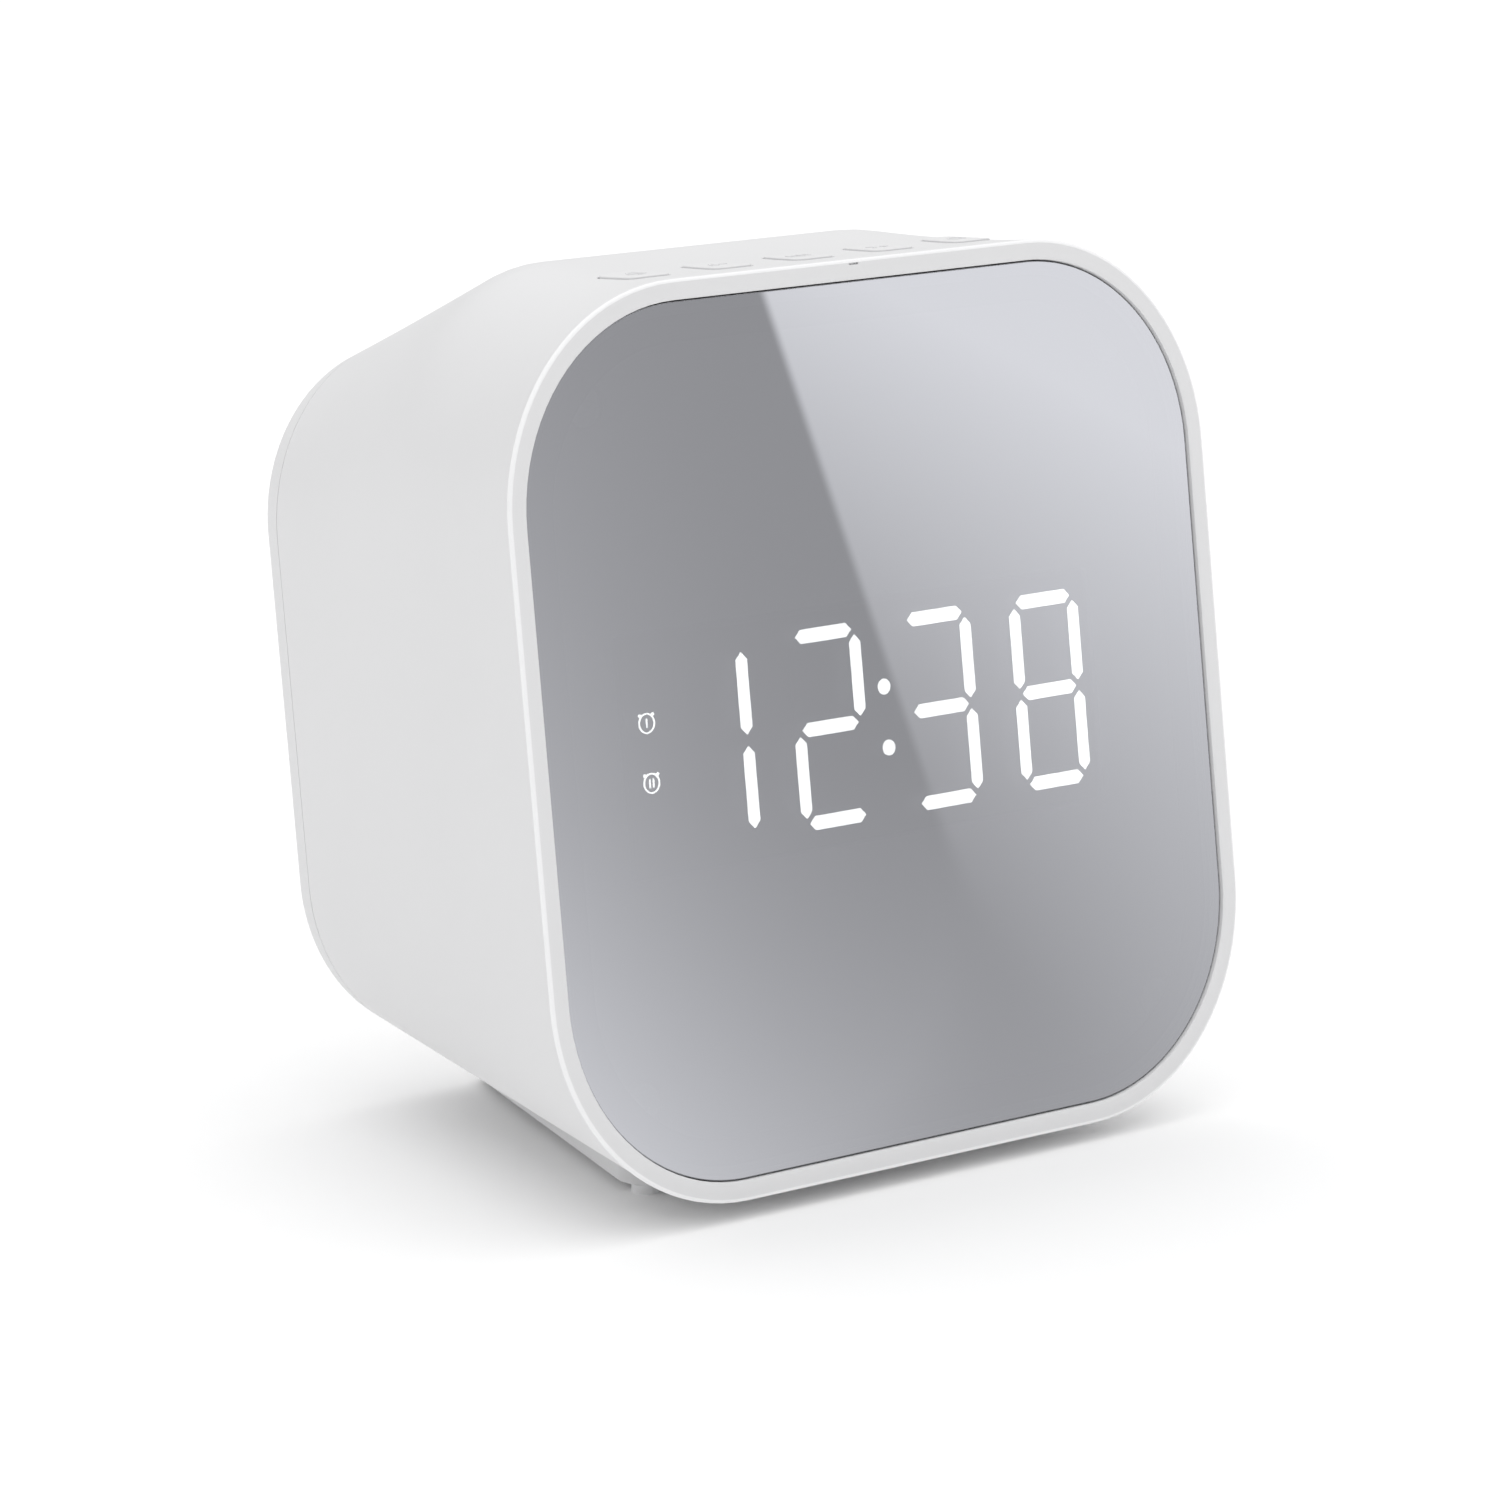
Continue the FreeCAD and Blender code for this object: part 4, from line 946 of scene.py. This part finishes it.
@dataclass
class KeyRow(SubAssembly):
    """Five low key caps with softly rounded edges and small raised signs.

    Attributes:
        round_r: Radius of the cap's top edge, in mm.
        skirt: Height of the cap's side.
        stroke: Width of the sign strokes.
        relief: Height of the signs above the cap.
        sunk: Depth of the signs inside the cap.
        strokes: Ends of every sign stroke, from the middle of its key.
    """

    round_r: float = 0.15
    skirt: float = 4.6
    stroke: float = 0.22
    relief: float = 0.07
    sunk: float = 0.05
    strokes: dict[str, tuple[tuple[float, float, float, float], ...]] = field(default_factory=lambda: {
        "a": ((-1.2, -0.6, -0.4, 0.9), (-0.4, 0.9, 0.4, 0.9), (0.4, 0.9, 1.2, -0.6),
              (1.2, -0.6, -1.2, -0.6), (-0.25, -1.1, 0.25, -1.1)),
        "b": ((-1.4, -0.8, -0.5, 0.8), (-0.5, 0.8, -0.5, -0.8), (0.3, 0.0, 1.4, 0.0)),
        "c": ((-1.3, -0.7, -1.3, 0.7), (-0.9, 0.0, 0.3, 0.8), (-0.9, 0.0, 0.3, -0.8),
              (0.3, 0.8, 0.3, -0.8), (1.2, 0.7, 1.2, -0.7)),
        "d": ((-1.3, 0.7, -0.2, 0.0), (-1.3, -0.7, -0.2, 0.0), (0.3, 0.0, 1.4, 0.0),
              (0.85, 0.55, 0.85, -0.55)),
        "e": ((-1.2, 0.0, -0.4, 1.0), (-0.4, 1.0, 0.8, 0.6), (0.8, 0.6, 0.9, -0.6),
              (0.9, -0.6, -0.6, -0.9), (-0.6, -0.9, -1.2, 0.0))})

    def cap(self, letter: str, cx: float) -> bpy.types.Object:
        """One key cap whose top follows the case surface.

        Args:
            letter: Letter of the key.
            cx: Key centre along the row.

        Returns:
            The cap piece.
        """
        flat, centre, r = KEYS.loop(cx, -self.round_r), np.array([cx, KEYS.middle]), self.round_r
        rings = [on_top(centre + (flat - centre) * share, KEYS.proud)
                 for share in (0.08, 0.3, 0.55, 0.78, 0.92)]
        rings += [on_top(KEYS.loop(cx, -r + r * math.sin(a)), KEYS.proud - r + r * math.cos(a))
                  for a in np.radians(np.linspace(0, 90, 6))]
        rings += [on_top(KEYS.loop(cx, 0.0), drop) for drop in (-1.0, -2.5, -self.skirt)]
        return self.settle(stacked_object("cap_" + letter, rings, 40.0), Slot.KEY, "key_%s_body" % letter)

    def sign(self, letter: str, cx: float) -> bpy.types.Object:
        """Fine raised sign on one key: a few strokes, different on every key.

        Args:
            letter: Letter of the key.
            cx: Key centre along the row.

        Returns:
            The sign piece, sunk a little into the cap.
        """
        points, faces = [], []
        for ax, ay, bx, by in self.strokes[letter]:
            run = np.array([bx - ax, by - ay])
            side = np.array([-run[1], run[0]]) / np.linalg.norm(run) * self.stroke / 2
            a, b = np.array([cx + ax, KEYS.middle + ay]), np.array([cx + bx, KEYS.middle + by])
            plan = np.array([a - side, b - side, b + side, a + side])
            base = len(points)
            for lift in (KEYS.proud - self.sunk, KEYS.proud + self.relief):
                points += list(on_top(plan, lift))
            faces += [tuple(base + i for i in quad) for quad in BOX_FACES]
        sign = mesh_object("sign_" + letter, PLACE.to_row(np.array(points)), faces, 20.0)
        orient_outwards(sign)
        return self.settle(sign, Slot.KEY, "key_%s_body" % letter)

    def build(self) -> list[bpy.types.Object]:
        """Build the five caps and their signs.

        Returns:
            The caps from left to right.
        """
        caps = []
        for letter, cx in zip("abcde", KEYS.centres()):
            cap = self.cap(letter, cx)
            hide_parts("key_" + letter)
            self.sign(letter, cx)
            caps.append(cap)
        return caps


@dataclass
class MirrorFront(SubAssembly):
    """The mirror panel: silvered on its front and edge, clear on its back.

    Attributes:
        half: Half width of the panel, in mm.
        corner: Corner radius.
        front: Depth of its face.
        thick: Panel thickness.
        bevel: Bevel along the front edge.
    """

    half: float = 48.75
    corner: float = 22.75
    front: float = 0.4
    thick: float = 1.0
    bevel: float = 0.10

    def build(self) -> bpy.types.Object:
        """Build the panel and hang it.

        Returns:
            The panel piece.
        """
        rings = []
        for behind, inset in ((0.0, self.bevel), (self.bevel, 0.0), (self.thick, 0.0)):
            h, r = self.half - inset, self.corner - inset
            rings.append(Outline(self.front + behind, h, h, -h, r, r, r).ring(8, 40))
        panel = stacked_object("mirror_plate", rings, 20.0)
        self.settle(panel, Slot.MIRROR, "case", "mirror_panel")
        clear, tree, _ = blank_material("clear_acrylic")
        glass = add_node(tree, "ShaderNodeBsdfTransparent", {"Color": rgba("#f4f6f6")})
        tree.links.new(glass.outputs[0], tree.nodes["Out"].inputs["Surface"])
        panel.data.materials.append(clear)
        panel.data.polygons[len(panel.data.polygons) - 1].material_index = 1
        return panel


@dataclass
class CarriedNodes(SubAssembly):
    """Every CAD node that stays, dressed by the slot that the record names for it."""

    def build(self) -> int:
        """Give each node its material.

        Returns:
            How many nodes were dressed.
        """
        slots = {part["node"]: part["material_slot"] for part in frame["record"]["subparts"]}
        for name, obj in frame["nodes"].items():
            material = self.wardrobe.get(Slot(slots[name]))
            obj.data.materials.clear()
            obj.data.materials.append(material)
        return len(slots)


# -------------------------------------------------------------------------------------------- studio
@dataclass(frozen=True)
class Term:
    """A shader value that is added, taken away, multiplied and divided like a number.

    Attributes:
        tree: Node tree that the sums are added to.
        socket: Output socket that holds the value.
    """

    tree: bpy.types.NodeTree
    socket: bpy.types.NodeSocket

    def join(self, kind: str, other: "Term | float", swap: bool = False) -> "Term":
        """Value of one math node.

        Args:
            kind: Operation of the math node.
            other: Second operand.
            swap: Put the second operand first.

        Returns:
            The result as a new term.
        """
        mine, its = (1, 0) if swap else (0, 1)
        known, links = {"operation": kind}, {mine: self.socket}
        if isinstance(other, Term):
            links[its] = other.socket
        else:
            known[its] = other
        return Term(self.tree, add_node(self.tree, "ShaderNodeMath", known, links).outputs[0])

    def __add__(self, other: "Term | float") -> "Term":
        """Sum of two values."""
        return self.join("ADD", other)

    def __sub__(self, other: "Term | float") -> "Term":
        """Difference of two values."""
        return self.join("SUBTRACT", other)

    def __rsub__(self, other: float) -> "Term":
        """Number minus this value."""
        return self.join("SUBTRACT", other, swap=True)

    def __mul__(self, other: "Term | float") -> "Term":
        """Product of two values."""
        return self.join("MULTIPLY", other)

    def __truediv__(self, other: "Term | float") -> "Term":
        """Quotient of two values."""
        return self.join("DIVIDE", other)


@dataclass(frozen=True)
class MirrorCard:
    """Grey card that only the mirror sees: a dark and a light half with a slanted border.

    With u and v as the mirror millimetres that see a spot of the card, e = u + slant v - shift is its
    distance from the border. Both halves grow lighter away from the border and towards the bottom, where
    it blurs; the light half also grows lighter upwards.

    Attributes:
        turn_deg: Direction of the card from the face, round the vertical.
        distance: Distance of the card from the face, in mm.
        half: Half width of the card, in mm.
        across: Mirror u per card millimetre sideways and upwards, and its start.
        along: Mirror v per card millimetre upwards, and its start.
        slant: Lean of the border.
        shift: Place of the border at half height, in mm.
        edge: Half width of the sharp part of the border, in mm.
        dark: Tone of the dark half at the border.
        light: Tone of the light half at the border.
        lightest: Highest tone of the light half.
        silver: Share of light that the mirror throws back.
    """

    turn_deg: float = 40.0
    distance: float = 600.0
    half: float = 170.0
    across: tuple[float, float, float] = (0.726, -0.0612, 0.75)
    along: tuple[float, float] = (0.5613, -0.12)
    slant: float = 0.315
    shift: float = 3.0
    edge: float = 0.9
    dark: float = 0.283
    light: float = 0.385
    lightest: float = 0.70
    silver: float = 0.47

    def tone(self, u: Term, v: Term) -> Term:
        """Brightness of the card where the mirror place (u, v) sees it.

        Args:
            u: Mirror place sideways, in mm.
            v: Mirror place upwards, in mm.

        Returns:
            The tone, between black at 0 and white at 1.
        """
        away = u + v * self.slant - self.shift
        below = (-5.0 - v).join("MAXIMUM", 0.0)
        foot = below * (below * 3.0e-5 + 0.0010)
        dark = away * away * (4.4e-5 - v * 3.5e-7) + self.dark + foot
        light = v * 0.0038 + self.light + v * v * 3.0e-5 + away * 0.0041 + foot * 0.3
        soft = add_node(u.tree, "ShaderNodeMapRange",
                        {"interpolation_type": "SMOOTHSTEP", "From Min": -self.edge, "From Max": self.edge},
                        {"Value": (away / (foot * foot * 4000.0 + 1.0)).socket})
        both = add_node(u.tree, "ShaderNodeMix", {"data_type": "FLOAT"},
                        {0: soft.outputs[0], 2: dark.socket, 3: light.join("MINIMUM", self.lightest).socket})
        return Term(u.tree, both.outputs[0])

    def build(self) -> bpy.types.Object:
        """Hang the card in the studio.

        Returns:
            The card object.
        """
        material, tree, place = blank_material("two_tone_card")
        turn = math.radians(self.turn_deg)
        face = np.array([0.0, PLACE.centre_y, PLACE.centre_z])
        centre = face + self.distance * np.array([math.sin(turn), -math.cos(turn), 0.0])
        side, top = np.array([math.cos(turn), math.sin(turn), 0.0]), np.array([0.0, 0.0, 1.0])

        def measure(axis: np.ndarray, start: float) -> Term:
            """Mirror millimetres along one axis of the card, from its centre."""
            near = add_node(tree, "ShaderNodeVectorMath", {"operation": "DOT_PRODUCT", 1: tuple(axis / MM)},
                            {0: place})
            return Term(tree, near.outputs["Value"]) - (float(axis @ centre) - start)

        u = measure(self.across[0] * side + self.across[1] * top, self.across[2])
        v = measure(self.along[0] * top, self.along[1])
        glow = add_node(tree, "ShaderNodeEmission", {"Color": (0.985, 0.985, 1.0, 1.0)},
                        {"Strength": (self.tone(u, v) * (1.0 / self.silver)).socket})
        tree.links.new(glow.outputs[0], tree.nodes["Out"].inputs["Surface"])
        corners = [centre + self.half * (a * side + b * top) for a, b in ((1, -1), (-1, -1), (-1, 1), (1, 1))]
        card = mesh_object("two_tone_card", np.array(corners) * MM, [(0, 1, 2, 3)])
        card.data.materials.append(material)
        card.visible_camera = card.visible_diffuse = card.visible_shadow = card.visible_transmission = False
        return card


@dataclass
class Studio:
    """Pale floor, soft lights, one grey card for the mirror, and the camera.

    Attributes:
        azimuth: Camera direction round the object, in degrees.
        elevation: Camera height angle.
        distance: Camera distance from the middle of the face, in mm.
        slide: Sideways and upward shift of the camera in its own plane, in mm.
        lens: Focal length, in mm.
        sensor: Width of the camera's sensor, in mm.
        low_air: Brightness of the air at the horizon.
        high_air: Brightness of the air overhead.
        floor_half: Half width of the floor, in metres.
        lamp_spot: Place of the lamp in the row frame, in metres.
        lamp_aim: Height above the row origin that the lamp looks at, in metres.
        lamp_size: Edge length of the square lamp, in metres.
        lamp_power: Power of the lamp, in watts.
    """

    azimuth: float = -39.75
    elevation: float = 11.75
    distance: float = 755.3
    slide: tuple[float, float] = (-15.82, -4.17)
    lens: float = 160.87
    sensor: float = 36.0
    low_air: float = 0.54
    high_air: float = 1.40
    floor_half: float = 6.0
    lamp_spot: tuple[float, float, float] = (0.3, 0.1, 1.2)
    lamp_aim: float = 0.05
    lamp_size: float = 0.9
    lamp_power: float = 0.9

    def camera(self) -> bpy.types.Object:
        """Create the scene's camera at the studied angle.

        Returns:
            The camera object.
        """
        a, e = math.radians(self.azimuth), math.radians(self.elevation)
        back = np.array([math.sin(a) * math.cos(e), -math.cos(a) * math.cos(e), math.sin(e)])
        right = np.array([math.cos(a), math.sin(a), 0.0])
        up = np.cross(back, right)
        centre = np.array([0.0, PLACE.centre_y, PLACE.centre_z])
        spot = centre + back * self.distance + right * self.slide[0] + up * self.slide[1]
        data = bpy.data.cameras.new("view")
        data.lens, data.sensor_width = self.lens, self.sensor
        data.clip_start, data.clip_end = 0.05, 50.0
        cam = bpy.data.objects.new("view", data)
        bpy.context.scene.collection.objects.link(cam)
        cam.matrix_world = Matrix([[right[i], up[i], back[i], spot[i] * MM] for i in range(3)]
                                  + [[0, 0, 0, 1]])
        bpy.context.scene.camera = cam
        return cam

    def floor(self) -> bpy.types.Object:
        """Wide matte floor.

        Returns:
            The floor object.
        """
        material, tree, place = blank_material("studio_paper")
        fibre = add_node(tree, "ShaderNodeTexNoise", {"Scale": 900.0}, {"Vector": place})
        bump = add_node(tree, "ShaderNodeBump", {"Strength": 0.05, "Distance": 0.02 * MM},
                        {"Height": fibre.outputs["Fac"]})
        skin = add_node(tree, "ShaderNodeBsdfDiffuse", {"Color": (0.97, 0.97, 0.97, 1.0)},
                        {"Normal": bump.outputs[0]})
        tree.links.new(skin.outputs[0], tree.nodes["Out"].inputs["Surface"])
        corners = [[a * self.floor_half, b * self.floor_half, 0.0]
                   for a, b in ((-1, -1), (1, -1), (1, 1), (-1, 1))]
        floor = mesh_object("studio_floor", np.array(corners), [(0, 1, 2, 3)])
        floor.data.materials.append(material)
        floor.visible_glossy = False
        return floor

    def air(self) -> None:
        """Even studio air: light grows with height, and below the horizon it is as bright as the floor."""
        world = bpy.data.worlds.new("studio_air")
        world.use_nodes = True
        tree = world.node_tree
        tree.nodes.clear()
        way = add_node(tree, "ShaderNodeTexCoord")
        split = add_node(tree, "ShaderNodeSeparateXYZ", None, {0: way.outputs["Generated"]})
        sky = add_node(tree, "ShaderNodeMapRange", {"To Min": self.low_air, "To Max": self.high_air},
                       {"Value": split.outputs["Z"]})
        under = add_node(tree, "ShaderNodeMath", {"operation": "LESS_THAN", 1: 0.0}, {0: split.outputs["Z"]})
        both = add_node(tree, "ShaderNodeMix", {"data_type": "FLOAT", 3: 1.0},
                        {0: under.outputs[0], 2: sky.outputs[0]})
        light = add_node(tree, "ShaderNodeBackground", {"Color": (1.0, 1.0, 1.0, 1.0)},
                         {"Strength": both.outputs[0]})
        out = add_node(tree, "ShaderNodeOutputWorld")
        tree.links.new(light.outputs[0], out.inputs["Surface"])
        bpy.context.scene.world = world

    def lamp(self) -> None:
        """Place one soft square lamp that looks at the case."""
        data = bpy.data.lights.new("top_box", "AREA")
        data.shape, data.size, data.energy = "SQUARE", self.lamp_size, self.lamp_power
        lamp = bpy.data.objects.new("top_box", data)
        lamp.location = self.lamp_spot
        aim = Vector((0.0, 0.0, self.lamp_aim)) - Vector(self.lamp_spot)
        lamp.rotation_euler = aim.to_track_quat("-Z", "Y").to_euler()
        bpy.context.scene.collection.objects.link(lamp)

    def build(self) -> None:
        """Set up the whole studio."""
        bpy.context.scene.view_settings.view_transform = "Standard"
        self.camera()
        self.floor()
        self.air()
        self.lamp()
        MirrorCard().build()


def main() -> None:
    logging.basicConfig(level=logging.INFO, format="%(name)s: %(message)s")
    wardrobe = Wardrobe()
    log.info("dressed %d nodes", CarriedNodes(wardrobe).build())
    CaseSkin(wardrobe).build()
    KeyRow(wardrobe).build()
    MirrorFront(wardrobe).build()
    Studio().build()
    bpy.context.view_layer.update()


if __name__ == "__main__":
    main()
